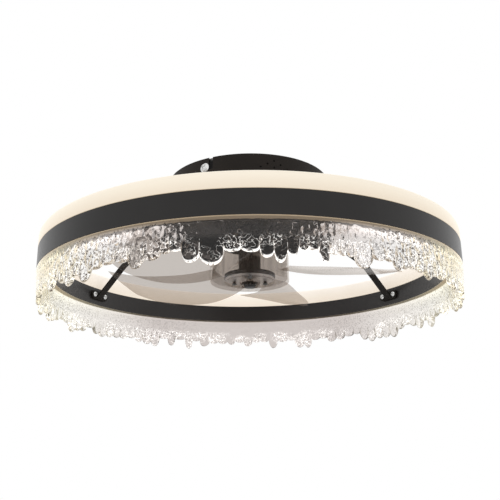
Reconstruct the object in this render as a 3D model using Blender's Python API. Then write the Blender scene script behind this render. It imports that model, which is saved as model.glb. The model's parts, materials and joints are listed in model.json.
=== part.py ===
"""A flush mount ceiling fan inside a ring light with a skirt of clear icicles.

Everything is in metres. The ceiling is the plane z = 0, the fan hangs below it, and the
impeller turns about the Z axis. Angles are in degrees from +X, anticlockwise seen from above.
"""

import math
import random

import bmesh
import bpy
import numpy as np
from mathutils import Matrix, Vector

# Clearances that all the pieces share
SEAT_GAP = 0.0003
RUNNING_GAP = 0.0012
OVERRUN = 0.002
MERGE_DISTANCE = 0.000001

# Canopy, a pressed steel cup whose open rim meets the ceiling
CANOPY_RADIUS = 0.1
CANOPY_HEIGHT = 0.042
CANOPY_WALL = 0.0012
CANOPY_ROUNDING = 0.0025
CANOPY_SIDES = 48
VENT_RADIUS = 0.0011
VENT_SIDES = 8
VENT_CENTRE_ANGLE = 287.1
VENT_STEP_ANGLE = 9.0
VENT_LOWEST = 0.0162
VENT_ROW_PITCH = 0.0041
VENT_ROWS = 3

# Ceiling bracket, a steel bar with turned-down ears that carry the canopy screws
BRACKET_ANGLE = 240.0
BRACKET_WIDTH = 0.03
BRACKET_THICKNESS = 0.002
BRACKET_DROP = 0.02
BRACKET_PLAY = 0.0006
BRACKET_SLOT_REACH = 0.055
BRACKET_SLOT_LENGTH = 0.014
BRACKET_SLOT_WIDTH = 0.005

# Canopy screws and the bayonet slots that hook over them
CANOPY_SCREW_DROP = 0.0116
CANOPY_SCREW_HEAD_RADIUS = 0.0045
CANOPY_SCREW_HEAD_HEIGHT = 0.0026
CANOPY_SCREW_RADIUS = 0.002
CANOPY_SCREW_LENGTH = 0.008
BAYONET_WIDTH = 0.0052
BAYONET_TURN = 0.008

# Electronics that stand on the canopy's floor
CASE_WALL = 0.0015
BOARD_THICKNESS = 0.0016
BOARD_LIFT = 0.0025
DRIVER_LENGTH = 0.084
DRIVER_WIDTH = 0.032
DRIVER_HEIGHT = 0.02
RECEIVER_LENGTH = 0.072
RECEIVER_WIDTH = 0.028
RECEIVER_HEIGHT = 0.016
CASE_OFFSET = 0.05
PART_LENGTH_SHARES = (0.16, 0.1, 0.12)
PART_WIDTH_SHARES = (0.6, 0.45, 0.5)
PART_HEIGHT_SHARES = (0.6, 0.4, 0.5)
PART_PLACE_SHARES = (-0.32, 0.02, 0.3)
TERMINAL_LENGTH = 0.026
TERMINAL_WIDTH = 0.013
TERMINAL_HEIGHT = 0.012
TERMINAL_OFFSET = 0.064
TERMINAL_ANGLE = 190.0
TERMINAL_POLES = 3
TERMINAL_HOLE_RADIUS = 0.0019

# Motor, bolted under the canopy's floor
MOTOR_RADIUS = 0.035
MOTOR_HEIGHT = 0.0387
MOTOR_WALL = 0.002
MOTOR_TOP = 0.003
MOTOR_SIDES = 28
SHAFT_RADIUS = 0.004
SHAFT_SIDES = 16
BEARING_RADIUS = 0.011
BEARING_HEIGHT = 0.0064
BEARING_BOSS_WALL = 0.002
STATOR_HEIGHT = 0.016
STATOR_BORE = 0.0205
STATOR_SLOT_DEPTH = 0.006
STATOR_TEETH = 12
COIL_RISE = 0.0025
MAGNET_GAP = 0.0008
MOTOR_SCREW_CIRCLE = 0.024
MOTOR_SCREW_ANGLE = 90.0
MOTOR_SCREW_COUNT = 3
LEAD_HOLE_RADIUS = 0.0032
MOTOR_LEAD_RADIUS = 0.0021
MOTOR_LEAD_ANGLE = 150.0
MOTOR_LEAD_CIRCLE = 0.0285

# Small pan head screws of the motor, hub, arms and tabs
SCREW_RADIUS = 0.0016
SCREW_HEAD_RADIUS = 0.0031
SCREW_HEAD_HEIGHT = 0.002
SCREW_LENGTH = 0.0062
SCREW_HOLE_PLAY = 0.0004
SCREW_SIDES = 10
SCREW_FLAT_SHARE = 0.65
SCREW_EDGE_SHARE = 0.45
RECESS_SPAN_SHARE = 1.1
RECESS_WIDTH_SHARE = 0.26
RECESS_DEPTH_SHARE = 0.55

# Ring channel, an aluminium H section that carries the light above and the icicles below
RING_RADIUS = 0.25
RING_WIDTH = 0.017
RING_WALL = 0.0012
RING_TOP = -0.1024
BAND_HEIGHT = 0.0249
INNER_BAND_DROP = 0.003
INNER_BAND_FOOT = 0.0007
CHANNEL_FLOOR_DROP = 0.0182
RING_SIDES = 64

# Diffuser, a glowing opal hood on the ring channel
DIFFUSER_HEIGHT = 0.0185
DIFFUSER_ROUNDING = 0.006
DIFFUSER_WALL = 0.002
DIFFUSER_LIP_DEPTH = 0.004
DIFFUSER_ARC_POINTS = 3
LIP_PLAY = 0.0004

# LED board, a ring of chips on the channel's floor
LED_BOARD_MARGIN = 0.002
LED_BOARD_THICKNESS = 0.0012
LED_CHIP_HEIGHT = 0.0007
LED_CHIP_COUNT = 32

# Icicle ring, clear acrylic, from the channel down to uneven rounded tips
ICICLE_RIM_PLAY = 0.0006
ICICLE_RIM_RISE = 0.0045
ICICLE_THICKNESS = 0.011
ICICLE_TIP_THICKNESS = 0.0045
ICICLE_COLLAR = 0.005
ICICLE_DROP = 0.0445
ICICLE_FLAT_SHARE = 0.42
ICICLE_VALLEY_SHARE = 0.62
ICICLE_TIP_LEAN_SHARE = 0.35
ICICLE_SEED = 11
ICICLE_STEP_ANGLE = 3.1
ICICLE_STEP_SPREAD = 0.9
ICICLE_LONG_SHARES = (0.68, 1.0)
# Each row is the angle, the half width in degrees, and the share of the full drop
FRONT_ICICLE_SHARES = (
    (230.5, 1.7, 1.0), (234.2, 1.5, 0.78), (237.7, 1.5, 0.74), (241.9, 1.8, 0.75),
    (245.1, 1.9, 0.93), (249.1, 1.9, 0.8), (252.1, 1.0, 0.69), (254.7, 1.2, 0.66),
    (257.6, 1.8, 0.92), (262.6, 2.4, 1.0), (266.1, 1.5, 0.74), (270.5, 1.7, 0.75),
    (273.5, 1.5, 0.87), (276.3, 1.3, 0.97), (278.9, 1.2, 0.84), (281.2, 1.0, 0.74),
    (283.3, 1.0, 0.69), (285.8, 1.2, 0.95), (288.1, 1.0, 0.75), (290.0, 1.0, 0.76),
    (291.8, 1.0, 0.77), (294.3, 1.9, 0.99), (299.1, 1.3, 0.77), (301.9, 1.3, 0.76),
    (304.1, 1.3, 0.92), (306.3, 1.2, 0.86), (308.7, 1.3, 0.83), (311.5, 1.6, 0.85),
)

# Arms, bent steel strips from the canopy's floor out to the ring
ARM_COUNT = 3
ARM_ANGLE = 33.15
ARM_WIDTH = 0.011
ARM_THICKNESS = 0.002
ARM_INNER_END = 0.062
ARM_FLAT_END = 0.11
ARM_KNEE_RADIUS = 0.1885
ARM_KNEE_DROP = 0.0323
ARM_FOOT_DROP = 0.0027
ARM_SCREW_RADII = (0.07, 0.09)
TAB_DROP = 0.013
TAB_HEIGHT = 0.012
TAB_SCREW_PITCH = 0.021
TAB_CORNER_POINTS = 4

# Impeller, one clear moulding of a cup and five swept blades
HUB_RADIUS = 0.048
HUB_WALL = 0.002
HUB_TOP = -0.0664
HUB_BOTTOM = -0.1264
HUB_FLOOR = 0.0042
HUB_ROUNDING = 0.0016
HUB_SIDES = 36
HUB_RECESS_RADIUS = 0.03
HUB_RECESS_DEPTH = 0.0022
COLLAR_RADIUS = 0.0125
COLLAR_WALL = 0.0021
COLLAR_DEPTH = 0.0046
BLADE_COUNT = 5
BLADE_ANGLE = 94.7
BLADE_TIP_RADIUS = 0.188
BLADE_THICKNESS = 0.002
BLADE_CAMBER = 0.0015
BLADE_ROOT_SINK = 0.0012
BLADE_MID_HEIGHT = -0.1134
BLADE_PITCH_HEIGHT = 0.0137
BLADE_STATIONS = 11
BLADE_CHORD_STATIONS = 6
# Each row is the share of the span, the edge's angle behind the tip's leading corner in
# degrees, and the edge's height above the blade's middle as a share of the pitch height
LEADING_EDGE_SHARES = (
    (0.0, -9.0, 0.73), (0.26, -13.5, 0.71), (0.55, -12.0, 0.8), (0.82, -7.5, 0.98),
    (0.94, -3.0, 1.1), (1.0, 0.0, 1.16),
)
TRAILING_EDGE_SHARES = (
    (0.0, -70.0, -0.44), (0.22, -56.0, -1.0), (0.44, -47.5, -1.2), (0.62, -41.0, -1.13),
    (0.77, -35.5, -0.97), (0.88, -31.5, -0.68), (0.96, -28.0, -0.35), (1.0, -21.0, -0.02),
)

# Shaft sleeve, hub flange and the nut that holds the impeller
SLEEVE_RADIUS = 0.0135
SLEEVE_SIDES = 24
FLANGE_RADIUS = 0.031
FLANGE_THICKNESS = 0.0055
NUT_RADIUS = 0.0073
NUT_HEIGHT = 0.0046
SHAFT_PROUD = 0.0004
HUB_SCREW_CIRCLE = 0.022
HUB_SCREW_ANGLE = 30.0
HUB_SCREW_COUNT = 3
HUB_SCREW_LENGTH = 0.0064

# Light lead, from the driver along one arm to the ring
LIGHT_LEAD_RADIUS = 0.0016
LIGHT_LEAD_SIDE = 0.0092
LIGHT_LEAD_HOLE_RADIUS = 0.003
LEAD_PITCH_SHARE = 3.4

# Places worked out from the sizes above
FLOOR_TOP = CANOPY_WALL - CANOPY_HEIGHT
FLOOR_BOTTOM = -CANOPY_HEIGHT
MOTOR_UPPER = FLOOR_BOTTOM - SEAT_GAP
MOTOR_LOWER = MOTOR_UPPER - MOTOR_HEIGHT
MOTOR_CEILING = MOTOR_UPPER - MOTOR_TOP
STATOR_MIDDLE = (MOTOR_CEILING + MOTOR_LOWER + MOTOR_TOP) / 2
RING_BOTTOM = RING_TOP - BAND_HEIGHT
RING_INNER = RING_RADIUS - RING_WIDTH
RING_INNER_TOP = RING_TOP - INNER_BAND_DROP
RING_INNER_BOTTOM = RING_BOTTOM - INNER_BAND_FOOT
CHANNEL_FLOOR = RING_TOP - CHANNEL_FLOOR_DROP
TAB_HALF = (TAB_SCREW_PITCH + TAB_HEIGHT) / 2
TAB_FACE = math.sqrt(RING_INNER**2 - TAB_HALF**2) * math.cos(math.pi / RING_SIDES) - SEAT_GAP
TAB_MIDDLE = RING_TOP - TAB_DROP
HUB_INNER_FLOOR = HUB_BOTTOM + HUB_FLOOR
FLANGE_BOTTOM = HUB_INNER_FLOOR + SEAT_GAP
FLANGE_TOP = FLANGE_BOTTOM + FLANGE_THICKNESS
NUT_TOP = HUB_BOTTOM - SEAT_GAP
SHAFT_HOLE = SHAFT_RADIUS + SEAT_GAP
SCREW_HOLE = SCREW_RADIUS + SCREW_HOLE_PLAY

# Colour, metallic and roughness of each finish
FINISHES = {
    "black_steel": ((0.035, 0.032, 0.03, 1.0), 0.3, 0.45),
    "black_aluminium": ((0.04, 0.04, 0.04, 1.0), 0.4, 0.4),
    "bright_steel": ((0.75, 0.75, 0.74, 1.0), 1.0, 0.25),
    "zinc_steel": ((0.6, 0.6, 0.58, 1.0), 1.0, 0.4),
    "white_plastic": ((0.85, 0.85, 0.83, 1.0), 0.0, 0.5),
    "circuit_board": ((0.05, 0.25, 0.12, 1.0), 0.0, 0.5),
    "led_board": ((0.9, 0.9, 0.86, 1.0), 0.0, 0.5),
    "copper_winding": ((0.6, 0.28, 0.12, 1.0), 0.8, 0.4),
    "magnet": ((0.12, 0.12, 0.13, 1.0), 0.7, 0.5),
    "opal_diffuser": ((0.98, 0.94, 0.86, 1.0), 0.0, 0.4),
    "clear_acrylic": ((0.95, 0.95, 0.93, 0.35), 0.0, 0.05),
    "smoky_plastic": ((0.55, 0.52, 0.5, 0.5), 0.0, 0.2),
    "lead_sleeve": ((0.03, 0.03, 0.03, 1.0), 0.0, 0.6),
}


def clear_scene():
    for thing in list(bpy.data.objects):
        bpy.data.objects.remove(thing, do_unlink=True)


def finish(piece, name):
    """A material of its own for one kind of piece."""
    colour, metallic, roughness = FINISHES[name]
    material = bpy.data.materials.new(f"{piece}_{name}")
    material.use_nodes = True
    shader = material.node_tree.nodes["Principled BSDF"]
    shader.inputs["Base Color"].default_value = colour
    shader.inputs["Alpha"].default_value = colour[3]
    shader.inputs["Metallic"].default_value = metallic
    shader.inputs["Roughness"].default_value = roughness
    return material


def mesh_from(shape, name):
    """Closes a bmesh into a mesh with its faces pointing out."""
    bmesh.ops.remove_doubles(shape, verts=shape.verts, dist=MERGE_DISTANCE)
    bmesh.ops.recalc_face_normals(shape, faces=shape.faces)
    mesh = bpy.data.meshes.new(name)
    shape.to_mesh(mesh)
    shape.free()
    mesh.shade_smooth()
    mesh.set_sharp_from_angle(angle=math.radians(35))
    return mesh


def turned_mesh(name, outline, sides, reaches_axis=False):
    """Turns (radius, height) points about Z. An outline that reaches the axis stays open there."""
    shape = bmesh.new()
    points = [shape.verts.new((radius, 0, height)) for radius, height in outline]
    pairs = list(zip(points, points[1:]))
    if not reaches_axis:
        pairs.append((points[-1], points[0]))
    edges = [shape.edges.new(pair) for pair in pairs]
    bmesh.ops.spin(
        shape, geom=points + edges, cent=(0, 0, 0), axis=(0, 0, 1),
        angle=math.tau, steps=sides, use_merge=True,
    )
    return mesh_from(shape, name)


def prism_mesh(name, outline, depth):
    """Extrudes an (x, y) outline from z = 0 up to the depth."""
    shape = bmesh.new()
    base = shape.faces.new([shape.verts.new((x, y, 0)) for x, y in outline])
    grown = bmesh.ops.extrude_face_region(shape, geom=[base])
    moved = [item for item in grown["geom"] if isinstance(item, bmesh.types.BMVert)]
    bmesh.ops.translate(shape, verts=moved, vec=(0, 0, depth))
    return mesh_from(shape, name)


def box_mesh(name, length, width, height):
    """A box centred on Z whose lower face is at z = 0."""
    shape = bmesh.new()
    bmesh.ops.create_cube(shape, size=1)
    bmesh.ops.scale(shape, vec=(length, width, height), verts=shape.verts)
    bmesh.ops.translate(shape, vec=(0, 0, height / 2), verts=shape.verts)
    return mesh_from(shape, name)


def rod_mesh(name, radius, height, sides):
    """A solid cylinder about Z from z = 0 up."""
    return turned_mesh(name, [(0, 0), (radius, 0), (radius, height), (0, height)], sides, True)


def ring_mesh(name, inner, outer, low, high, sides):
    return turned_mesh(name, [(inner, low), (outer, low), (outer, high), (inner, high)], sides)


def columns_mesh(name, angles, outline_at):
    """Joins closed (radius, height) outlines that change with the angle round Z."""
    shape = bmesh.new()
    columns = []
    for angle in angles:
        turn = math.radians(angle)
        points = [
            shape.verts.new((radius * math.cos(turn), radius * math.sin(turn), height))
            for radius, height in outline_at(angle)
        ]
        columns.append(points)
    for here, after in zip(columns, columns[1:] + columns[:1]):
        for index in range(len(here)):
            shape.faces.new((here[index - 1], after[index - 1], after[index], here[index]))
    return mesh_from(shape, name)


def add(name, mesh, finish_name, parent, location=(0, 0, 0), turn=0.0, facing=None):
    """An object for a mesh. Facing turns its Z axis to a direction, and turn is about Z."""
    thing = bpy.data.objects.new(name, mesh)
    bpy.context.scene.collection.objects.link(thing)
    if not mesh.materials:
        mesh.materials.append(finish(mesh.name, finish_name))
    thing.location = location
    thing.rotation_euler = (0, 0, math.radians(turn))
    if facing is not None:
        thing.rotation_euler = Vector(facing).to_track_quat("Z", "Y").to_euler()
    thing.parent = parent
    return thing


def tool(name, mesh, location=(0, 0, 0), turn=0.0, facing=None):
    """A helper that cuts or joins another piece and is no piece itself."""
    thing = add(name, mesh, "white_plastic", None, location, turn, facing)
    thing.hide_render = True
    thing.display_type = "WIRE"
    return thing


def combine(target, helper, operation):
    modifier = target.modifiers.new(helper.name, "BOOLEAN")
    modifier.operation = operation
    modifier.solver = "EXACT"
    modifier.object = helper


def cut(target, helper):
    combine(target, helper, "DIFFERENCE")


def join(target, helper):
    combine(target, helper, "UNION")


def settled_mesh(thing, helpers):
    """The mesh of an object with its modifiers carried out, and the object and helpers removed."""
    bpy.context.view_layer.update()
    graph = bpy.context.evaluated_depsgraph_get()
    mesh = bpy.data.meshes.new_from_object(thing.evaluated_get(graph))
    for spent in [thing] + helpers:
        bpy.data.objects.remove(spent, do_unlink=True)
    return mesh


def polar(radius, angle, height=0.0):
    turn = math.radians(angle)
    return Vector((radius * math.cos(turn), radius * math.sin(turn), height))


def beside(radius, side, angle, height):
    """A place at a radius along an angle, then sideways, anticlockwise."""
    return polar(radius, angle, height) + polar(side, angle + 90)


def smooth_through(rows, places):
    """Reads a smooth curve through rows of (place, value) at the given places."""
    knots = np.array([row[0] for row in rows])
    values = np.array([row[1] for row in rows])
    slopes = np.gradient(values, knots)
    index = np.clip(np.searchsorted(knots, places) - 1, 0, len(knots) - 2)
    span = knots[index + 1] - knots[index]
    t = (places - knots[index]) / span
    start = (1 + 2 * t) * (1 - t) ** 2 * values[index] + t * (1 - t) ** 2 * span * slopes[index]
    end = t**2 * (3 - 2 * t) * values[index + 1] + t**2 * (t - 1) * span * slopes[index + 1]
    return start + end


def screw_mesh(name, head_radius, head_height, radius, length):
    """A pan head with a cross recess above z = 0 and a plain shank below."""
    flat = head_radius * SCREW_FLAT_SHARE
    edge = head_height * SCREW_EDGE_SHARE
    outline = [
        (0, head_height), (flat, head_height), (head_radius, edge), (head_radius, 0),
        (radius, 0), (radius, -length), (0, -length),
    ]
    screw = add(name, turned_mesh(name, outline, SCREW_SIDES, True), "bright_steel", None)
    helpers = []
    depth = head_height * RECESS_DEPTH_SHARE
    span = head_radius * RECESS_SPAN_SHARE
    for turn in (0.0, 90.0):
        slot = box_mesh("recess", span, head_radius * RECESS_WIDTH_SHARE, depth + OVERRUN)
        helpers.append(tool("recess", slot, (0, 0, head_height - depth), turn))
        cut(screw, helpers[-1])
    return settled_mesh(screw, helpers)


def make_canopy(fixed):
    """The cup, its bayonet slots, vents and screw holes."""
    inner = CANOPY_RADIUS - CANOPY_WALL
    outline = [
        (0, FLOOR_BOTTOM), (CANOPY_RADIUS - CANOPY_ROUNDING, FLOOR_BOTTOM),
        (CANOPY_RADIUS, FLOOR_BOTTOM + CANOPY_ROUNDING), (CANOPY_RADIUS, 0), (inner, 0),
        (inner, FLOOR_TOP + CANOPY_ROUNDING), (inner - CANOPY_ROUNDING, FLOOR_TOP), (0, FLOOR_TOP),
    ]
    canopy = add("canopy", turned_mesh("canopy", outline, CANOPY_SIDES, True), "black_steel", fixed)
    reach = inner - OVERRUN
    through = CANOPY_WALL + OVERRUN + OVERRUN
    low = -CANOPY_SCREW_DROP - BAYONET_WIDTH / 2
    half = BAYONET_WIDTH / 2
    slot = [
        (-half, low), (BAYONET_TURN + half, low), (BAYONET_TURN + half, OVERRUN),
        (BAYONET_TURN - half, OVERRUN), (BAYONET_TURN - half, low + BAYONET_WIDTH),
        (-half, low + BAYONET_WIDTH),
    ]
    for index in range(2):
        angle = BRACKET_ANGLE + 180 * index
        cutter = tool(f"bayonet_cut_{index + 1}", prism_mesh("bayonet_cut", slot, through))
        outward, across = polar(1, angle), polar(1, angle + 90)
        frame = Matrix((across, Vector((0, 0, 1)), outward)).transposed()
        cutter.rotation_euler = frame.to_euler()
        cutter.location = outward * reach
        cut(canopy, cutter)
    vent = rod_mesh("vent_cut", VENT_RADIUS, through, VENT_SIDES)
    for row in range(VENT_ROWS):
        for place in range(VENT_ROWS - row):
            step = place - (VENT_ROWS - row - 1) / 2
            angle = VENT_CENTRE_ANGLE + VENT_STEP_ANGLE * step
            height = VENT_ROW_PITCH * row - VENT_LOWEST
            name = f"vent_cut_{row + 1}_{place + 1}"
            cut(canopy, tool(name, vent, polar(reach, angle, height), facing=polar(1, angle)))
    for name, place, radius in canopy_floor_holes():
        mesh = rod_mesh(name, radius, through, SCREW_SIDES)
        cut(canopy, tool(name, mesh, (place.x, place.y, FLOOR_BOTTOM - OVERRUN)))


def canopy_floor_holes():
    """The name, place and radius of each hole in the canopy's floor."""
    holes = []
    for index, angle in enumerate(motor_screw_angles()):
        holes.append((f"motor_hole_{index + 1}", polar(MOTOR_SCREW_CIRCLE, angle), SCREW_HOLE))
    for index, angle in enumerate(arm_angles()):
        for number, radius in enumerate(ARM_SCREW_RADII):
            name = f"arm_hole_{index + 1}_{number + 1}"
            holes.append((name, polar(radius, angle), SCREW_HOLE))
    holes.append(
        ("motor_lead_hole", polar(MOTOR_LEAD_CIRCLE, MOTOR_LEAD_ANGLE), LEAD_HOLE_RADIUS)
    )
    holes.append(("light_lead_hole", light_lead_exit(), LIGHT_LEAD_HOLE_RADIUS))
    return holes


def motor_screw_angles():
    return [MOTOR_SCREW_ANGLE + 360 / MOTOR_SCREW_COUNT * n for n in range(MOTOR_SCREW_COUNT)]


def arm_angles():
    return [ARM_ANGLE + 360 / ARM_COUNT * n for n in range(ARM_COUNT)]


def light_lead_exit():
    """Where the light lead passes the canopy's floor, beside the last arm."""
    return beside(max(ARM_SCREW_RADII), LIGHT_LEAD_SIDE, arm_angles()[-1], 0)


def bracket_face():
    """How far out the bracket's ears reach inside the round canopy."""
    room = CANOPY_RADIUS - CANOPY_WALL - BRACKET_PLAY
    return math.sqrt(room**2 - (BRACKET_WIDTH / 2) ** 2)


def make_bracket(fixed):
    """The bar on the ceiling, with two slots for ceiling screws and a hole in each ear."""
    face = bracket_face()
    inside = face - BRACKET_THICKNESS
    outline = [
        (-face, 0), (-face, -BRACKET_DROP), (-inside, -BRACKET_DROP),
        (-inside, -BRACKET_THICKNESS), (inside, -BRACKET_THICKNESS), (inside, -BRACKET_DROP),
        (face, -BRACKET_DROP), (face, 0),
    ]
    mesh = prism_mesh("ceiling_bracket", outline, BRACKET_WIDTH)
    stand = Matrix.Rotation(math.radians(90), 4, "X")
    mesh.transform(Matrix.Translation((0, BRACKET_WIDTH / 2, 0)) @ stand)
    bracket = add("ceiling_bracket", mesh, "zinc_steel", fixed, turn=BRACKET_ANGLE)
    slot = box_mesh(
        "bracket_slot_cut", BRACKET_SLOT_LENGTH, BRACKET_SLOT_WIDTH,
        BRACKET_THICKNESS + OVERRUN + OVERRUN,
    )
    hole = rod_mesh(
        "ear_hole_cut", CANOPY_SCREW_RADIUS + SEAT_GAP, BRACKET_THICKNESS + OVERRUN + OVERRUN,
        SCREW_SIDES,
    )
    for index in range(2):
        angle = BRACKET_ANGLE + 180 * index
        place = polar(BRACKET_SLOT_REACH, angle, -BRACKET_THICKNESS - OVERRUN)
        cut(bracket, tool(f"bracket_slot_cut_{index + 1}", slot, place, angle))
        place = polar(inside - OVERRUN, angle, -CANOPY_SCREW_DROP)
        name = f"ear_hole_cut_{index + 1}"
        cut(bracket, tool(name, hole, place, facing=polar(1, angle)))


def make_canopy_screws(fixed):
    mesh = screw_mesh(
        "canopy_screw", CANOPY_SCREW_HEAD_RADIUS, CANOPY_SCREW_HEAD_HEIGHT,
        CANOPY_SCREW_RADIUS, CANOPY_SCREW_LENGTH,
    )
    for index in range(2):
        angle = BRACKET_ANGLE + 180 * index
        place = polar(CANOPY_RADIUS + SEAT_GAP, angle, -CANOPY_SCREW_DROP)
        add(f"canopy_screw_{index + 1}", mesh, "bright_steel", fixed, place,
            facing=polar(1, angle))


def make_boxed_board(name, length, width, height, side, fixed):
    """A tray on the canopy's floor, the circuit board in it and the cover over both."""
    low = FLOOR_TOP + SEAT_GAP
    place = Vector((0, side, low))
    tray_height = height - CASE_WALL - SEAT_GAP
    tray = add(
        f"{name}_case", box_mesh(f"{name}_case", length, width, tray_height),
        "white_plastic", fixed, place,
    )
    inside_length = length - CASE_WALL - CASE_WALL
    inside_width = width - CASE_WALL - CASE_WALL
    hollow = box_mesh(f"{name}_hollow_cut", inside_length, inside_width, tray_height)
    cut(tray, tool(f"{name}_hollow_cut", hollow, place + Vector((0, 0, CASE_WALL))))
    fit = SEAT_GAP + SEAT_GAP
    board_low = place + Vector((0, 0, CASE_WALL + SEAT_GAP))
    board = add(
        f"{name}_board",
        box_mesh(f"{name}_board", inside_length - fit, inside_width - fit, BOARD_THICKNESS),
        "circuit_board", fixed, board_low,
    )
    room = tray_height - CASE_WALL - BOARD_THICKNESS - BOARD_LIFT
    rows = zip(PART_LENGTH_SHARES, PART_WIDTH_SHARES, PART_HEIGHT_SHARES, PART_PLACE_SHARES)
    for index, (long_share, wide_share, high_share, place_share) in enumerate(rows):
        part = box_mesh(
            f"{name}_part_{index + 1}", inside_length * long_share,
            inside_width * wide_share, room * high_share + BOARD_THICKNESS / 2,
        )
        spot = board_low + Vector((inside_length * place_share, 0, BOARD_THICKNESS / 2))
        join(board, tool(f"{name}_part_{index + 1}", part, spot))
    cover = box_mesh(f"{name}_cover", length, width, CASE_WALL)
    lift = tray_height + SEAT_GAP
    add(f"{name}_cover", cover, "white_plastic", fixed, place + Vector((0, 0, lift)))


def make_terminal_block(fixed):
    place = polar(TERMINAL_OFFSET, TERMINAL_ANGLE, FLOOR_TOP + SEAT_GAP)
    mesh = box_mesh("terminal_block", TERMINAL_WIDTH, TERMINAL_LENGTH, TERMINAL_HEIGHT)
    block = add("terminal_block", mesh, "white_plastic", fixed, place, TERMINAL_ANGLE)
    depth = TERMINAL_HEIGHT / 2
    hole = rod_mesh("terminal_cut", TERMINAL_HOLE_RADIUS, depth + OVERRUN, VENT_SIDES)
    for index in range(TERMINAL_POLES):
        side = TERMINAL_LENGTH / TERMINAL_POLES * (index - (TERMINAL_POLES - 1) / 2)
        spot = beside(TERMINAL_OFFSET, side, TERMINAL_ANGLE, place.z + depth)
        cut(block, tool(f"terminal_cut_{index + 1}", hole, spot))


def make_motor(fixed, rotor):
    """The housing, stator, end cap and bearings stay still; the shaft and magnet turn."""
    inner = MOTOR_RADIUS - MOTOR_WALL
    seat = BEARING_RADIUS + SEAT_GAP
    boss = seat + BEARING_BOSS_WALL
    boss_low = MOTOR_CEILING - BEARING_HEIGHT
    outline = [
        (0, MOTOR_UPPER), (MOTOR_RADIUS, MOTOR_UPPER), (MOTOR_RADIUS, MOTOR_LOWER),
        (inner, MOTOR_LOWER), (inner, MOTOR_CEILING), (boss, MOTOR_CEILING), (boss, boss_low),
        (seat, boss_low), (seat, MOTOR_CEILING), (0, MOTOR_CEILING),
    ]
    mesh = turned_mesh("motor_housing", outline, MOTOR_SIDES, True)
    housing = add("motor_housing", mesh, "black_steel", fixed)
    through = MOTOR_TOP + OVERRUN + OVERRUN
    low = MOTOR_CEILING - OVERRUN
    for index, angle in enumerate(motor_screw_angles()):
        hole = rod_mesh("housing_hole", SCREW_HOLE, through, SCREW_SIDES)
        place = polar(MOTOR_SCREW_CIRCLE, angle, low)
        cut(housing, tool(f"housing_hole_{index + 1}", hole, place))
    hole = rod_mesh("housing_lead_hole", LEAD_HOLE_RADIUS, through, SCREW_SIDES)
    place = polar(MOTOR_LEAD_CIRCLE, MOTOR_LEAD_ANGLE, low)
    cut(housing, tool("housing_lead_hole", hole, place))

    cap_top = MOTOR_LOWER + MOTOR_TOP
    cap_boss = cap_top + BEARING_HEIGHT
    cap_radius = inner - SEAT_GAP
    cap_hole = SHAFT_RADIUS + RUNNING_GAP
    outline = [
        (cap_hole, MOTOR_LOWER), (cap_radius, MOTOR_LOWER), (cap_radius, cap_top),
        (boss, cap_top), (boss, cap_boss), (seat, cap_boss), (seat, cap_top), (cap_hole, cap_top),
    ]
    add("motor_end_cap", turned_mesh("motor_end_cap", outline, MOTOR_SIDES), "black_steel", fixed)

    race = SEAT_GAP + SHAFT_RADIUS
    upper_high = MOTOR_CEILING - SEAT_GAP
    upper_low = upper_high - BEARING_HEIGHT
    lower_low = cap_top + SEAT_GAP
    lower_high = lower_low + BEARING_HEIGHT
    for name, low, high in (
        ("upper_bearing", upper_low, upper_high), ("lower_bearing", lower_low, lower_high),
    ):
        mesh = ring_mesh(name, race, BEARING_RADIUS, low, high, MOTOR_SIDES)
        add(name, mesh, "bright_steel", fixed)

    make_stator(fixed, cap_radius)
    half = STATOR_HEIGHT / 2
    magnet = ring_mesh(
        "motor_magnet", SHAFT_HOLE, STATOR_BORE - MAGNET_GAP, STATOR_MIDDLE - half,
        STATOR_MIDDLE + half, MOTOR_SIDES,
    )
    add("motor_magnet", magnet, "magnet", rotor)
    shaft_low = NUT_TOP - NUT_HEIGHT - SHAFT_PROUD
    shaft_high = upper_high
    shaft = rod_mesh("motor_shaft", SHAFT_RADIUS, shaft_high - shaft_low, SHAFT_SIDES)
    add("motor_shaft", shaft, "bright_steel", rotor, (0, 0, shaft_low))

    mesh = screw_mesh(
        "motor_screw", SCREW_HEAD_RADIUS, SCREW_HEAD_HEIGHT, SCREW_RADIUS,
        CANOPY_WALL + SEAT_GAP + MOTOR_TOP,
    )
    for index, angle in enumerate(motor_screw_angles()):
        place = polar(MOTOR_SCREW_CIRCLE, angle, FLOOR_TOP + SEAT_GAP)
        add(f"motor_screw_{index + 1}", mesh, "zinc_steel", fixed, place)


def make_stator(fixed, outer):
    """An iron ring whose teeth carry coils that stand above and below it."""
    half = STATOR_HEIGHT / 2
    root = STATOR_BORE + STATOR_SLOT_DEPTH
    step = 360 / STATOR_TEETH
    angles = [step * (n // 4) + step / 4 * (n % 4) for n in range(STATOR_TEETH * 4)]

    def outline_at(angle):
        on_tooth = round(angle / (step / 4)) % 4 < 2
        inside = STATOR_BORE if on_tooth else root
        rise = half + (COIL_RISE if on_tooth else 0)
        return [
            (inside, STATOR_MIDDLE - half), (inside, STATOR_MIDDLE + half),
            (root, STATOR_MIDDLE + rise), (outer, STATOR_MIDDLE + half),
            (outer, STATOR_MIDDLE - half), (root, STATOR_MIDDLE - rise),
        ] if on_tooth else [
            (inside, STATOR_MIDDLE - half), (inside, STATOR_MIDDLE + half),
            (root + COIL_RISE, STATOR_MIDDLE + half), (outer, STATOR_MIDDLE + half),
            (outer, STATOR_MIDDLE - half), (root + COIL_RISE, STATOR_MIDDLE - half),
        ]

    mesh = columns_mesh("motor_stator", angles, outline_at)
    add("motor_stator", mesh, "copper_winding", fixed)


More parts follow.
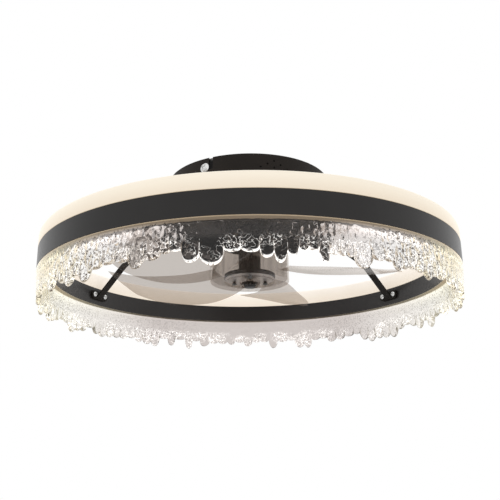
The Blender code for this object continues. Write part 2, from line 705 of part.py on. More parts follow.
def blade_mesh(name):
    """One swept and twisted blade on a grid of span and chord stations."""
    root = HUB_RADIUS - BLADE_ROOT_SINK
    spans = 1 - (1 - np.linspace(0, 1, BLADE_STATIONS)) ** 1.4
    chords = np.linspace(0, 1, BLADE_CHORD_STATIONS)
    radii = root + (BLADE_TIP_RADIUS - root) * spans
    edges = []
    for rows in (TRAILING_EDGE_SHARES, LEADING_EDGE_SHARES):
        angle = smooth_through([(row[0], row[1]) for row in rows], spans)
        height = smooth_through([(row[0], row[2]) for row in rows], spans)
        edges.append((angle, BLADE_MID_HEIGHT + BLADE_PITCH_HEIGHT * height))
    (back_angle, back_height), (front_angle, front_height) = edges
    shape = bmesh.new()
    layers = []
    for offset in (-BLADE_THICKNESS / 2, BLADE_THICKNESS / 2):
        grid = []
        for index, radius in enumerate(radii):
            row = []
            for chord in chords:
                angle = back_angle[index] + (front_angle[index] - back_angle[index]) * chord
                height = back_height[index] + (front_height[index] - back_height[index]) * chord
                height += BLADE_CAMBER * 4 * chord * (1 - chord) + offset
                row.append(shape.verts.new(polar(radius, angle, height)))
            grid.append(row)
        layers.append(grid)
    low, high = layers
    last_span, last_chord = BLADE_STATIONS - 1, BLADE_CHORD_STATIONS - 1
    for i in range(last_span):
        for j in range(last_chord):
            for grid in layers:
                corners = (grid[i][j], grid[i + 1][j], grid[i + 1][j + 1], grid[i][j + 1])
                shape.faces.new(corners)
    for i in range(last_span):
        for j in (0, last_chord):
            shape.faces.new((low[i][j], low[i + 1][j], high[i + 1][j], high[i][j]))
    for j in range(last_chord):
        for i in (0, last_span):
            shape.faces.new((low[i][j], low[i][j + 1], high[i][j + 1], high[i][j]))
    return mesh_from(shape, name)


def make_impeller(rotor):
    """The cup with its recess and collar, and the blades joined to its wall."""
    inner = HUB_RADIUS - HUB_WALL
    recess_top = HUB_BOTTOM + HUB_RECESS_DEPTH
    collar_low = HUB_BOTTOM - COLLAR_DEPTH
    collar_inner = COLLAR_RADIUS - COLLAR_WALL
    outline = [
        (HUB_RADIUS, HUB_TOP), (HUB_RADIUS, HUB_BOTTOM + HUB_ROUNDING),
        (HUB_RADIUS - HUB_ROUNDING, HUB_BOTTOM), (HUB_RECESS_RADIUS, HUB_BOTTOM),
        (HUB_RECESS_RADIUS, recess_top), (COLLAR_RADIUS, recess_top),
        (COLLAR_RADIUS, collar_low), (collar_inner, collar_low), (collar_inner, HUB_BOTTOM),
        (SHAFT_HOLE, HUB_BOTTOM), (SHAFT_HOLE, HUB_INNER_FLOOR), (inner, HUB_INNER_FLOOR),
        (inner, HUB_TOP),
    ]
    impeller = add("impeller", turned_mesh("impeller", outline, HUB_SIDES), "smoky_plastic", rotor)
    blade = blade_mesh("blade")
    for index in range(BLADE_COUNT):
        turn = BLADE_ANGLE + 360 / BLADE_COUNT * index
        join(impeller, tool(f"blade_{index + 1}", blade, turn=turn))
    for index in range(HUB_SCREW_COUNT):
        angle = HUB_SCREW_ANGLE + 360 / HUB_SCREW_COUNT * index
        hole = rod_mesh("impeller_hole", SCREW_HOLE, HUB_FLOOR + OVERRUN + OVERRUN, SCREW_SIDES)
        place = polar(HUB_SCREW_CIRCLE, angle, HUB_BOTTOM - OVERRUN)
        cut(impeller, tool(f"impeller_hole_{index + 1}", hole, place))


def make_hub_drive(rotor):
    """The sleeve and flange on the shaft, and the screws and nut that hold the impeller."""
    sleeve_top = MOTOR_LOWER - RUNNING_GAP
    sleeve = ring_mesh(
        "shaft_sleeve", SHAFT_HOLE, SLEEVE_RADIUS, FLANGE_TOP + SEAT_GAP, sleeve_top, SLEEVE_SIDES,
    )
    add("shaft_sleeve", sleeve, "black_steel", rotor)
    flange = add(
        "hub_flange",
        ring_mesh("hub_flange", SHAFT_HOLE, FLANGE_RADIUS, FLANGE_BOTTOM, FLANGE_TOP, MOTOR_SIDES),
        "black_steel", rotor,
    )
    screw = screw_mesh(
        "hub_screw", SCREW_HEAD_RADIUS, SCREW_HEAD_HEIGHT, SCREW_RADIUS, HUB_SCREW_LENGTH,
    )
    recess_top = HUB_BOTTOM + HUB_RECESS_DEPTH
    for index in range(HUB_SCREW_COUNT):
        angle = HUB_SCREW_ANGLE + 360 / HUB_SCREW_COUNT * index
        hole = rod_mesh("flange_hole", SCREW_HOLE, FLANGE_THICKNESS + OVERRUN + OVERRUN,
                        SCREW_SIDES)
        place = polar(HUB_SCREW_CIRCLE, angle, FLANGE_BOTTOM - OVERRUN)
        cut(flange, tool(f"flange_hole_{index + 1}", hole, place))
        place = polar(HUB_SCREW_CIRCLE, angle, recess_top - SEAT_GAP)
        add(f"hub_screw_{index + 1}", screw, "zinc_steel", rotor, place, facing=(0, 0, -1))
    low = NUT_TOP - NUT_HEIGHT
    nut = add("hub_nut", rod_mesh("hub_nut", NUT_RADIUS, NUT_HEIGHT, 6), "zinc_steel", rotor,
              (0, 0, low))
    thread = rod_mesh("nut_cut", SHAFT_HOLE, NUT_HEIGHT + OVERRUN + OVERRUN, SHAFT_SIDES)
    cut(nut, tool("nut_cut", thread, (0, 0, low - OVERRUN)))


def strip_outline(path, thickness):
    """Both sides of a bent strip whose middle follows the path, with mitred bends."""
    points = [Vector(point) for point in path]
    ways = [(after - here).normalized() for here, after in zip(points, points[1:])]
    sides = []
    for index, point in enumerate(points):
        before = ways[max(index - 1, 0)]
        after = ways[min(index, len(ways) - 1)]
        normal = Vector((-before.y - after.y, before.x + after.x)).normalized()
        across = Vector((-after.y, after.x))
        sides.append(normal * (thickness / 2 / normal.dot(across)))
    upper = [point + side for point, side in zip(points, sides)]
    lower = [point - side for point, side in zip(points, sides)]
    return upper + lower[::-1]


def arm_path():
    """The middle of an arm's strip from the canopy's floor to the tab, as (radius, height)."""
    high = FLOOR_BOTTOM - SEAT_GAP - ARM_THICKNESS / 2
    tab = TAB_FACE - ARM_THICKNESS / 2
    return [
        (ARM_INNER_END, high), (ARM_FLAT_END, high), (ARM_KNEE_RADIUS, high - ARM_KNEE_DROP),
        (tab, TAB_MIDDLE - ARM_FOOT_DROP), (tab, TAB_MIDDLE - ARM_FOOT_DROP - ARM_THICKNESS),
    ]


def tab_outline():
    """A plate with fully rounded ends, as (sideways, height)."""
    radius = TAB_HEIGHT / 2
    points = []
    for centre, start in ((TAB_SCREW_PITCH / 2, -90), (-TAB_SCREW_PITCH / 2, 90)):
        for step in range(TAB_CORNER_POINTS + 1):
            turn = math.radians(start + 180 / TAB_CORNER_POINTS * step)
            points.append((centre + radius * math.cos(turn), radius * math.sin(turn)))
    return points


def make_arms(fixed):
    """Three strips with their tabs, each cut for two screws at either end."""
    strip = prism_mesh("arm", strip_outline(arm_path(), ARM_THICKNESS), ARM_WIDTH)
    stand = Matrix.Rotation(math.radians(90), 4, "X")
    strip.transform(Matrix.Translation((0, ARM_WIDTH / 2, 0)) @ stand)
    arm = add("arm", strip, "black_steel", None)
    outward = Matrix(((0, 0, 1), (1, 0, 0), (0, 1, 0))).to_euler()
    tab = tool("arm_tab", prism_mesh("arm_tab", tab_outline(), ARM_THICKNESS))
    tab.location = (TAB_FACE - ARM_THICKNESS, 0, TAB_MIDDLE)
    tab.rotation_euler = outward
    join(arm, tab)
    helpers = [tab]
    hole = rod_mesh("arm_hole", SCREW_HOLE, ARM_THICKNESS + OVERRUN + OVERRUN, SCREW_SIDES)
    for radius in ARM_SCREW_RADII:
        low = FLOOR_BOTTOM - SEAT_GAP - ARM_THICKNESS - OVERRUN
        helpers.append(tool("arm_hole", hole, (radius, 0, low)))
    for side in (-TAB_SCREW_PITCH / 2, TAB_SCREW_PITCH / 2):
        place = (TAB_FACE - ARM_THICKNESS - OVERRUN, side, TAB_MIDDLE)
        helpers.append(tool("tab_hole", hole, place, facing=(1, 0, 0)))
    for helper in helpers[1:]:
        cut(arm, helper)
    mesh = settled_mesh(arm, helpers)
    for index, angle in enumerate(arm_angles()):
        add(f"arm_{index + 1}", mesh, "black_steel", fixed, turn=angle)


def make_arm_screws(fixed):
    """Two screws up into the canopy's floor and two out into the ring, for each arm."""
    mesh = screw_mesh(
        "arm_screw", SCREW_HEAD_RADIUS, SCREW_HEAD_HEIGHT, SCREW_RADIUS, SCREW_LENGTH,
    )
    under = FLOOR_BOTTOM - SEAT_GAP - ARM_THICKNESS - SEAT_GAP
    head = TAB_FACE - ARM_THICKNESS - SEAT_GAP
    for index, angle in enumerate(arm_angles()):
        for number, radius in enumerate(ARM_SCREW_RADII):
            name = f"arm_screw_{index * 2 + number + 1}"
            place = polar(radius, angle, under)
            add(name, mesh, "bright_steel", fixed, place, facing=(0, 0, -1))
        for number, side in enumerate((-TAB_SCREW_PITCH / 2, TAB_SCREW_PITCH / 2)):
            name = f"tab_screw_{index * 2 + number + 1}"
            place = beside(head, side, angle, TAB_MIDDLE)
            add(name, mesh, "bright_steel", fixed, place, facing=-polar(1, angle))


def make_channel(fixed):
    """The H section, drilled for the tab screws and the light lead."""
    outer, inner = RING_RADIUS - RING_WALL, RING_INNER + RING_WALL
    below = CHANNEL_FLOOR - RING_WALL
    outline = [
        (RING_RADIUS, RING_TOP), (RING_RADIUS, RING_BOTTOM), (outer, RING_BOTTOM), (outer, below),
        (inner, below), (inner, RING_INNER_BOTTOM), (RING_INNER, RING_INNER_BOTTOM),
        (RING_INNER, RING_INNER_TOP), (inner, RING_INNER_TOP), (inner, CHANNEL_FLOOR),
        (outer, CHANNEL_FLOOR), (outer, RING_TOP),
    ]
    mesh = turned_mesh("ring_channel", outline, RING_SIDES)
    channel = add("ring_channel", mesh, "black_aluminium", fixed)
    hole = rod_mesh("channel_hole", SCREW_HOLE, RING_WALL + OVERRUN + OVERRUN, SCREW_SIDES)
    for index, angle in enumerate(arm_angles()):
        for number, side in enumerate((-TAB_SCREW_PITCH / 2, TAB_SCREW_PITCH / 2)):
            place = beside(RING_INNER - OVERRUN, side, angle, TAB_MIDDLE)
            name = f"channel_hole_{index * 2 + number + 1}"
            cut(channel, tool(name, hole, place, facing=polar(1, angle)))
    entry = rod_mesh(
        "channel_lead_hole", LIGHT_LEAD_HOLE_RADIUS, RING_WALL + OVERRUN + OVERRUN, SCREW_SIDES,
    )
    angle = arm_angles()[-1]
    place = beside(RING_INNER - OVERRUN, light_lead_entry_side(), angle, TAB_MIDDLE)
    cut(channel, tool("channel_lead_hole", entry, place, facing=polar(1, angle)))


def light_lead_entry_side():
    """How far beside the last arm the light lead enters the ring, clear of its tab."""
    return TAB_HALF + LIGHT_LEAD_HOLE_RADIUS + RING_WALL


def make_diffuser(fixed):
    """An upside-down trough that closes the channel's top, with lips inside both walls."""
    low = RING_TOP + SEAT_GAP
    inner_low = RING_INNER_TOP + SEAT_GAP
    high = RING_TOP + DIFFUSER_HEIGHT
    outer_lip = RING_RADIUS - RING_WALL - LIP_PLAY
    inner_lip = RING_INNER + RING_WALL + LIP_PLAY
    turns = np.linspace(0, math.pi / 2, DIFFUSER_ARC_POINTS)
    rise, run = np.sin(turns), 1 - np.cos(turns)
    outline = [(RING_RADIUS, low)]
    outline += list(zip(RING_RADIUS - DIFFUSER_ROUNDING * run, high - DIFFUSER_ROUNDING * (1 - rise)))
    outline += list(zip(
        RING_INNER + DIFFUSER_ROUNDING * run[::-1], high - DIFFUSER_ROUNDING * (1 - rise[::-1])))
    outline += [(RING_INNER, inner_low), (inner_lip, inner_low)]
    outline += [(inner_lip, inner_low - DIFFUSER_LIP_DEPTH)]
    inside, ceiling = inner_lip + DIFFUSER_WALL, high - DIFFUSER_WALL
    outline += [(inside, inner_low - DIFFUSER_LIP_DEPTH), (inside, ceiling)]
    outside = outer_lip - DIFFUSER_WALL
    outline += [(outside, ceiling), (outside, low - DIFFUSER_LIP_DEPTH)]
    outline += [(outer_lip, low - DIFFUSER_LIP_DEPTH)]
    outline += [(outer_lip, low)]
    mesh = turned_mesh("diffuser", [(float(r), float(z)) for r, z in outline], RING_SIDES)
    add("diffuser", mesh, "opal_diffuser", fixed)


def make_led_board(fixed):
    """A flat ring whose chips stand up at even steps, three columns to a chip."""
    inner = RING_INNER + RING_WALL + LED_BOARD_MARGIN
    outer = RING_RADIUS - RING_WALL - LED_BOARD_MARGIN
    low = CHANNEL_FLOOR + SEAT_GAP
    high = low + LED_BOARD_THICKNESS
    middle = (inner + outer) / 2
    half = LED_BOARD_MARGIN / 2
    step = 360 / LED_CHIP_COUNT
    angles = [step / 2 * n for n in range(LED_CHIP_COUNT * 2)]

    def outline_at(angle):
        chip = LED_CHIP_HEIGHT if round(angle / (step / 2)) % 2 else 0
        return [
            (inner, low), (inner, high), (middle - half, high), (middle, high + chip),
            (middle + half, high), (outer, high), (outer, low),
        ]

    mesh = columns_mesh("led_board", angles, outline_at)
    add("led_board", mesh, "led_board", fixed)


def icicles():
    """Every icicle's angle, half width and share of the drop, the front ones chosen by hand."""
    rows = list(FRONT_ICICLE_SHARES)
    first, last = rows[0][0] + 360, rows[-1][0]
    chance = random.Random(ICICLE_SEED)
    shortest, longest = ICICLE_LONG_SHARES
    count = round((first - last) / ICICLE_STEP_ANGLE)
    step = (first - last) / count
    for index in range(1, count):
        angle = last + step * index + chance.uniform(-0.5, 0.5) * ICICLE_STEP_SPREAD
        half = step * chance.uniform(0.4, 0.62)
        share = shortest + (longest - shortest) * chance.random() ** 1.3
        rows.append((angle, half, share))
    rows.sort()
    return np.array(rows)


def make_icicle_ring(fixed):
    """A collar in the channel that drops into uneven teeth with rounded ends."""
    rows = icicles()
    shortest = min(ICICLE_LONG_SHARES)
    rim_outer = RING_RADIUS - RING_WALL - ICICLE_RIM_PLAY
    rim_inner = RING_RADIUS - ICICLE_THICKNESS
    high = min(RING_BOTTOM + ICICLE_RIM_RISE, CHANNEL_FLOOR - RING_WALL - SEAT_GAP)
    shoulder = RING_BOTTOM - SEAT_GAP
    collar = shoulder - ICICLE_COLLAR
    lean = (ICICLE_THICKNESS - ICICLE_TIP_THICKNESS) * ICICLE_TIP_LEAN_SHARE
    tip_outer = RING_RADIUS - lean
    tip_inner = tip_outer - ICICLE_TIP_THICKNESS

    drops = {}
    for row, after in zip(rows, np.roll(rows, -1, axis=0)):
        angle, half, share = row
        after_angle = after[0] if after[0] > angle else after[0] + 360
        drops[angle - half * ICICLE_FLAT_SHARE] = share
        drops[angle + half * ICICLE_FLAT_SHARE] = share
        middle = (angle + half + after_angle - after[1]) / 2
        drops[middle] = ICICLE_VALLEY_SHARE + (min(share, after[2]) - shortest) / 2

    def outline_at(angle):
        low = RING_BOTTOM - ICICLE_DROP * drops[angle]
        return [
            (rim_inner, high), (rim_outer, high), (rim_outer, shoulder), (RING_RADIUS, shoulder),
            (RING_RADIUS, (collar + low) / 2), (tip_outer, low), (tip_inner, low),
            (rim_inner, collar),
        ]

    mesh = columns_mesh("icicle_ring", sorted(drops), outline_at)
    add("icicle_ring", mesh, "clear_acrylic", fixed)


def add_lead(name, route, radius, fixed):
    """A tube along a smooth curve through the route's points."""
    points = np.array([list(point) for point in route])
    steps = np.linalg.norm(np.diff(points, axis=0), axis=1)
    run = np.concatenate([[0.0], np.cumsum(steps)])
    count = math.ceil(run[-1] / (radius * LEAD_PITCH_SHARE)) + 1
    places = np.linspace(0, run[-1], count)
    smooth = np.stack(
        [smooth_through(list(zip(run, points[:, axis])), places) for axis in range(3)], axis=1,
    )
    curve = bpy.data.curves.new(name, "CURVE")
    curve.dimensions = "3D"
    curve.bevel_depth = radius
    curve.bevel_resolution = 2
    curve.use_fill_caps = True
    spline = curve.splines.new("POLY")
    spline.points.add(count - 1)
    for point, place in zip(spline.points, smooth):
        point.co = (*place, 1)
    curve.materials.append(finish(name, "lead_sleeve"))
    lead = bpy.data.objects.new(name, curve)
    bpy.context.scene.collection.objects.link(lead)
    lead.parent = fixed


def make_leads(fixed):
    """The motor's lead up into the canopy, and the light's lead out along the last arm."""
    stator_top = STATOR_MIDDLE + STATOR_HEIGHT / 2 + COIL_RISE + SEAT_GAP
    up = polar(MOTOR_LEAD_CIRCLE, MOTOR_LEAD_ANGLE, stator_top)
    level = FLOOR_TOP + DRIVER_HEIGHT / 2
    case_face = CASE_OFFSET - DRIVER_WIDTH / 2 - SEAT_GAP
    turn_in = Vector((up.x, case_face - MOTOR_LEAD_RADIUS - MOTOR_LEAD_RADIUS, level))
    rise = Vector((up.x, up.y, FLOOR_TOP))
    add_lead(
        "motor_lead",
        [up, (up + rise) / 2, rise, (rise + turn_in) / 2, turn_in, Vector((up.x, case_face, level))],
        MOTOR_LEAD_RADIUS, fixed,
    )
    angle = arm_angles()[-1]
    side = LIGHT_LEAD_SIDE
    exit_radius = max(ARM_SCREW_RADII)
    box_edge = CASE_OFFSET + RECEIVER_WIDTH / 2 + SEAT_GAP
    entry = light_lead_entry_side()
    start = beside(box_edge, side, angle, FLOOR_TOP + RECEIVER_HEIGHT / 2)
    start.y = -box_edge - SEAT_GAP
    path = arm_path()
    knee, foot = path[2], path[3]
    slope = (path[2][1] - path[1][1]) / (path[2][0] - path[1][0])
    bend = ARM_FLAT_END + LIGHT_LEAD_SIDE
    bend_height = path[1][1] + slope * (bend - ARM_FLAT_END)
    middle = (bend + knee[0]) / 2
    fall = (knee[1] + foot[1]) / 2
    add_lead(
        "light_lead",
        [
            start,
            beside(exit_radius - LIGHT_LEAD_SIDE, side, angle, start.z),
            beside(exit_radius, side, angle, FLOOR_TOP),
            beside(exit_radius, side, angle, FLOOR_BOTTOM - ARM_THICKNESS),
            beside(bend, side, angle, bend_height),
            beside(middle, side, angle, (bend_height + knee[1]) / 2),
            beside(knee[0], side, angle, knee[1]),
            beside((knee[0] + foot[0]) / 2, (side + entry) / 2, angle, fall),
            beside(foot[0] - LIGHT_LEAD_SIDE, entry, angle, (fall + foot[1]) / 2),
            beside(RING_INNER - RING_WALL, entry, angle, TAB_MIDDLE),
            beside(RING_INNER + RING_WALL * 3, entry, angle, TAB_MIDDLE),
        ],
        LIGHT_LEAD_RADIUS, fixed,
    )


def build():
    clear_scene()
    fixed = bpy.data.objects.new("fixed", None)
    rotor = bpy.data.objects.new("rotor", None)
    for empty in (fixed, rotor):
        bpy.context.scene.collection.objects.link(empty)
    make_bracket(fixed)
    make_canopy(fixed)
    make_canopy_screws(fixed)
    make_boxed_board("driver", DRIVER_LENGTH, DRIVER_WIDTH, DRIVER_HEIGHT, CASE_OFFSET, fixed)
    make_boxed_board(
        "receiver", RECEIVER_LENGTH, RECEIVER_WIDTH, RECEIVER_HEIGHT, -CASE_OFFSET, fixed,
    )
    make_terminal_block(fixed)
    make_motor(fixed, rotor)
    make_hub_drive(rotor)
    make_impeller(rotor)
    make_arms(fixed)
    make_arm_screws(fixed)
    make_channel(fixed)
    make_led_board(fixed)
    make_diffuser(fixed)
    make_icicle_ring(fixed)
    make_leads(fixed)


build()
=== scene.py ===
"""Looks for a flush mount ceiling fan inside a ring light with a skirt of clear icicles.

Metres, ceiling at z = 0, the fan turns about Z. Angles are in degrees from +X, anticlockwise
seen from above. The sizes are those of the solid parts, so each fine piece sits on its solid.
"""

import json
import math
import random

import bpy
import numpy as np
from mathutils import Matrix, Vector


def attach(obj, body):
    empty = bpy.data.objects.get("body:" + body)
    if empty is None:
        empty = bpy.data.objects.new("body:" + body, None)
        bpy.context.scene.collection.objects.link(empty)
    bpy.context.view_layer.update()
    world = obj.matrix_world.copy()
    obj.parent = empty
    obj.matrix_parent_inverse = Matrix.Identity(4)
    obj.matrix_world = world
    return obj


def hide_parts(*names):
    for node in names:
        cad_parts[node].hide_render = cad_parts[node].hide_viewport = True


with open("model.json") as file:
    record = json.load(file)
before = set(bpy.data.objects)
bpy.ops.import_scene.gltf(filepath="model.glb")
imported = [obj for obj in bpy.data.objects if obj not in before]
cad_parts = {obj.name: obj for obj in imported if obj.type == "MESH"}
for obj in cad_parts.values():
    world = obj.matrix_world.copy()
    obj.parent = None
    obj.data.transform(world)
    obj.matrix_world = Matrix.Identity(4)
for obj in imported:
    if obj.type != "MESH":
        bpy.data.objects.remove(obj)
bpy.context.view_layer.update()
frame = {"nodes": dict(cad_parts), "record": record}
NODES = frame["nodes"]

# Sizes of the real pieces

SEAT_GAP = 0.0003
OVERRUN = 0.002

CANOPY_RADIUS, CANOPY_HEIGHT, CANOPY_WALL, CANOPY_ROUNDING = 0.1, 0.042, 0.0012, 0.0025
VENT_RADIUS, VENT_CENTRE_ANGLE, VENT_STEP_ANGLE = 0.0011, 287.1, 9.0
VENT_LOWEST, VENT_ROW_PITCH, VENT_ROWS = 0.0162, 0.0041, 3
BRACKET_ANGLE, CANOPY_SCREW_DROP = 240.0, 0.0116
CANOPY_SCREW_HEAD, CANOPY_SCREW_HEAD_HEIGHT = 0.0045, 0.0026
CANOPY_SCREW_SHANK, CANOPY_SCREW_LENGTH = 0.002, 0.008
BAYONET_WIDTH, BAYONET_TURN = 0.0052, 0.008

MOTOR_RADIUS, MOTOR_HEIGHT, MOTOR_WALL, MOTOR_TOP = 0.035, 0.0387, 0.002, 0.003
BEARING_RADIUS, BEARING_HEIGHT, BEARING_BOSS_WALL = 0.011, 0.0064, 0.002
MOTOR_SCREW_CIRCLE, MOTOR_SCREW_ANGLE = 0.024, 90.0
MOTOR_LEAD_CIRCLE, MOTOR_LEAD_ANGLE, LEAD_HOLE = 0.0285, 150.0, 0.0032
MOTOR_SCREW_COUNT, CANOPY_SCREW_COUNT = 3, 2
SHAFT_RADIUS, RUNNING_GAP = 0.004, 0.0012

SCREW_SHANK, SCREW_HEAD, SCREW_HEAD_HEIGHT, SCREW_LENGTH = 0.0016, 0.0031, 0.002, 0.0062
SCREW_HOLE = SCREW_SHANK + 0.0004

RING_RADIUS, RING_WIDTH, RING_WALL, RING_TOP = 0.25, 0.017, 0.0012, -0.1024
BAND_HEIGHT, INNER_BAND_DROP, INNER_BAND_FOOT = 0.0249, 0.003, 0.0007
CHANNEL_FLOOR_DROP, RING_SIDES = 0.0182, 64
DIFFUSER_HEIGHT, DIFFUSER_ROUNDING, DIFFUSER_WALL = 0.0185, 0.006, 0.002
DIFFUSER_LIP_DEPTH, LIP_PLAY = 0.004, 0.0004

ICICLE_RIM_PLAY, ICICLE_RIM_RISE = 0.0006, 0.0045
ICICLE_THICKNESS, ICICLE_TIP_THICKNESS = 0.011, 0.0045
ICICLE_DROP, ICICLE_VALLEY_SHARE, ICICLE_TIP_LEAN_SHARE = 0.0445, 0.62, 0.35
ICICLE_SEED, ICICLE_STEP_ANGLE, ICICLE_STEP_SPREAD = 11, 3.1, 0.9
ICICLE_LONG_SHARES = (0.68, 1.0)
# Each row is the angle, the half width in degrees, and the share of the full drop
FRONT_ICICLE_SHARES = (
    (230.5, 1.7, 1.0), (234.2, 1.5, 0.78), (237.7, 1.5, 0.74), (241.9, 1.8, 0.75),
    (245.1, 1.9, 0.93), (249.1, 1.9, 0.8), (252.1, 1.0, 0.69), (254.7, 1.2, 0.66),
    (257.6, 1.8, 0.92), (262.6, 2.4, 1.0), (266.1, 1.5, 0.74), (270.5, 1.7, 0.75),
    (273.5, 1.5, 0.87), (276.3, 1.3, 0.97), (278.9, 1.2, 0.84), (281.2, 1.0, 0.74),
    (283.3, 1.0, 0.69), (285.8, 1.2, 0.95), (288.1, 1.0, 0.75), (290.0, 1.0, 0.76),
    (291.8, 1.0, 0.77), (294.3, 1.9, 0.99), (299.1, 1.3, 0.77), (301.9, 1.3, 0.76),
    (304.1, 1.3, 0.92), (306.3, 1.2, 0.86), (308.7, 1.3, 0.83), (311.5, 1.6, 0.85),
)

ARM_COUNT, ARM_ANGLE, ARM_WIDTH, ARM_THICKNESS = 3, 33.15, 0.011, 0.002
ARM_INNER_END, ARM_FLAT_END, ARM_KNEE_RADIUS = 0.062, 0.11, 0.1885
ARM_KNEE_DROP, ARM_FOOT_DROP = 0.0323, 0.0027
ARM_SCREW_RADII = (0.07, 0.09)
TAB_DROP, TAB_HEIGHT, TAB_SCREW_PITCH = 0.013, 0.012, 0.021

HUB_RADIUS, HUB_WALL, HUB_TOP, HUB_BOTTOM = 0.048, 0.002, -0.0664, -0.1264
HUB_FLOOR, HUB_ROUNDING, HUB_RECESS_RADIUS = 0.0042, 0.0016, 0.03
HUB_RECESS_DEPTH, COLLAR_RADIUS, COLLAR_WALL, COLLAR_DEPTH = 0.0022, 0.0125, 0.0021, 0.0046
BLADE_COUNT, BLADE_ANGLE, BLADE_TIP_RADIUS = 5, 94.7, 0.188
BLADE_THICKNESS, BLADE_CAMBER, BLADE_ROOT_SINK = 0.002, 0.0015, 0.0012
BLADE_MID_HEIGHT, BLADE_PITCH_HEIGHT = -0.1134, 0.0137
# Each row is the share of the span, the edge's angle behind the tip's leading corner in
# degrees, and the edge's height above the blade's middle as a share of the pitch height
LEADING_EDGE_SHARES = (
    (0.0, -9.0, 0.73), (0.26, -13.5, 0.71), (0.55, -12.0, 0.8), (0.82, -7.5, 0.98),
    (0.94, -3.0, 1.1), (1.0, 0.0, 1.16),
)
TRAILING_EDGE_SHARES = (
    (0.0, -70.0, -0.44), (0.22, -56.0, -1.0), (0.44, -47.5, -1.2), (0.62, -41.0, -1.13),
    (0.77, -35.5, -0.97), (0.88, -31.5, -0.68), (0.96, -28.0, -0.35), (1.0, -21.0, -0.02),
)

SLEEVE_RADIUS, FLANGE_RADIUS, FLANGE_THICKNESS = 0.0135, 0.031, 0.0055
NUT_RADIUS, NUT_HEIGHT, NUT_SIDES, SHAFT_PROUD = 0.0073, 0.0046, 6, 0.0004
HUB_SCREW_CIRCLE, HUB_SCREW_ANGLE, HUB_SCREW_LENGTH, HUB_SCREW_COUNT = 0.022, 30.0, 0.0064, 3

LIGHT_LEAD_RADIUS, LIGHT_LEAD_SIDE, LIGHT_LEAD_HOLE = 0.0016, 0.0092, 0.003
RECEIVER_WIDTH, RECEIVER_HEIGHT, CASE_OFFSET = 0.028, 0.016, 0.05

FLOOR_BOTTOM = -CANOPY_HEIGHT
FLOOR_TOP = CANOPY_WALL - CANOPY_HEIGHT
MOTOR_UPPER = FLOOR_BOTTOM - SEAT_GAP
MOTOR_LOWER = MOTOR_UPPER - MOTOR_HEIGHT
MOTOR_CEILING = MOTOR_UPPER - MOTOR_TOP
RING_BOTTOM = RING_TOP - BAND_HEIGHT
RING_INNER = RING_RADIUS - RING_WIDTH
RING_INNER_TOP = RING_TOP - INNER_BAND_DROP
RING_INNER_BOTTOM = RING_BOTTOM - INNER_BAND_FOOT
CHANNEL_FLOOR = RING_TOP - CHANNEL_FLOOR_DROP
TAB_HALF = (TAB_SCREW_PITCH + TAB_HEIGHT) / 2
TAB_FACE = math.sqrt(RING_INNER**2 - TAB_HALF**2) * math.cos(math.pi / RING_SIDES) - SEAT_GAP
TAB_MIDDLE = RING_TOP - TAB_DROP
HUB_INNER_FLOOR = HUB_BOTTOM + HUB_FLOOR
FLANGE_BOTTOM = HUB_INNER_FLOOR + SEAT_GAP
FLANGE_TOP = FLANGE_BOTTOM + FLANGE_THICKNESS
SHAFT_HOLE = SHAFT_RADIUS + SEAT_GAP
NUT_TOP = HUB_BOTTOM - SEAT_GAP

# Sizes that no solid has: the canopy's dark cloth liner, a sheet put in as painted shade behind
# the vents and slots, the nut's cap and washer, the canopy screws' washers, the bare face turned
# on the flange, and what the icicles' surface follows
LINER_GAP, LINER_THICKNESS, LINER_TOP, LINER_BOTTOM = 0.0002, 0.00025, -0.0035, -0.039
LINER_HOLE = 0.0029
NUT_CAP, NUT_WASHER, NUT_WASHER_RADIUS, SCREW_WASHER_SHARE = 0.0014, 0.001, 0.0101, 1.26
FLANGE_FACE_RADIUS, FLANGE_FACE_DEPTH, SCREW_SEED = 0.0303, 0.0004, 5
ICICLE_COLUMNS, ICICLE_ROWS, ICICLE_ROUNDNESS, ICICLE_FLATNESS = 15, 17, 2.2, 5.0
ICICLE_TIP_FULLNESS, ICICLE_ROUND_START, ICICLE_CREASE_SHARE = 0.85, 0.93, 0.98
ICICLE_WAVE, ICICLE_LUMP, ICICLE_RELIEF_SHARE = 0.12, 0.001, 0.9
ICICLE_CALM_SHARE, ICICLE_END_CALM, ICICLE_BACK_CALM, ICICLE_DRIP_CALM = 0.55, 0.85, 0.75, 0.8
# Each row is the cells round the ring, the cells down it, the seed and the weight of a layer
# of lumps, for the skirt's outer side and for its inner side
OUTER_LUMPS = ((430, 13, 1, 1.0), (760, 20, 2, 0.6))
INNER_LUMPS = ((400, 12, 7, 1.0), (720, 19, 8, 0.6))
# The cells round the ring, the cells down it and the seed of the wave that bends the columns
WAVE_LUMPS = (360, 7, 3)
# Smooth steps, each from its low to its high. By the depth, a share of the full drop:
ICICLE_WAVE_STEP, ICICLE_CREASE_STEP, ICICLE_LEAN_IN_STEP = (0.12, 0.4), (0.42, 0.7), (0.1, 1.0)
ICICLE_HAMMER_STEP, ICICLE_DRIP_STEP, NEAR_RIM_DEPTH_STEP = (0.03, 0.16), (0.5, 0.75), (0.35, 0.6)
# By v, the share of a column's own length, and by |u|:
ICICLE_LEAN_STEP, NEAR_RIM_TIP_STEP, NEAR_RIM_SIDE_STEP = (0.1, 0.9), (0.92, 0.99), (0.83, 0.97)
# By |cos a| for the front and the ends, and by sin a for the back:
FRONT_CALM_STEP, END_CALM_STEP, BACK_CALM_STEP = (0.15, 0.45), (0.65, 0.9), (-0.2, 0.5)

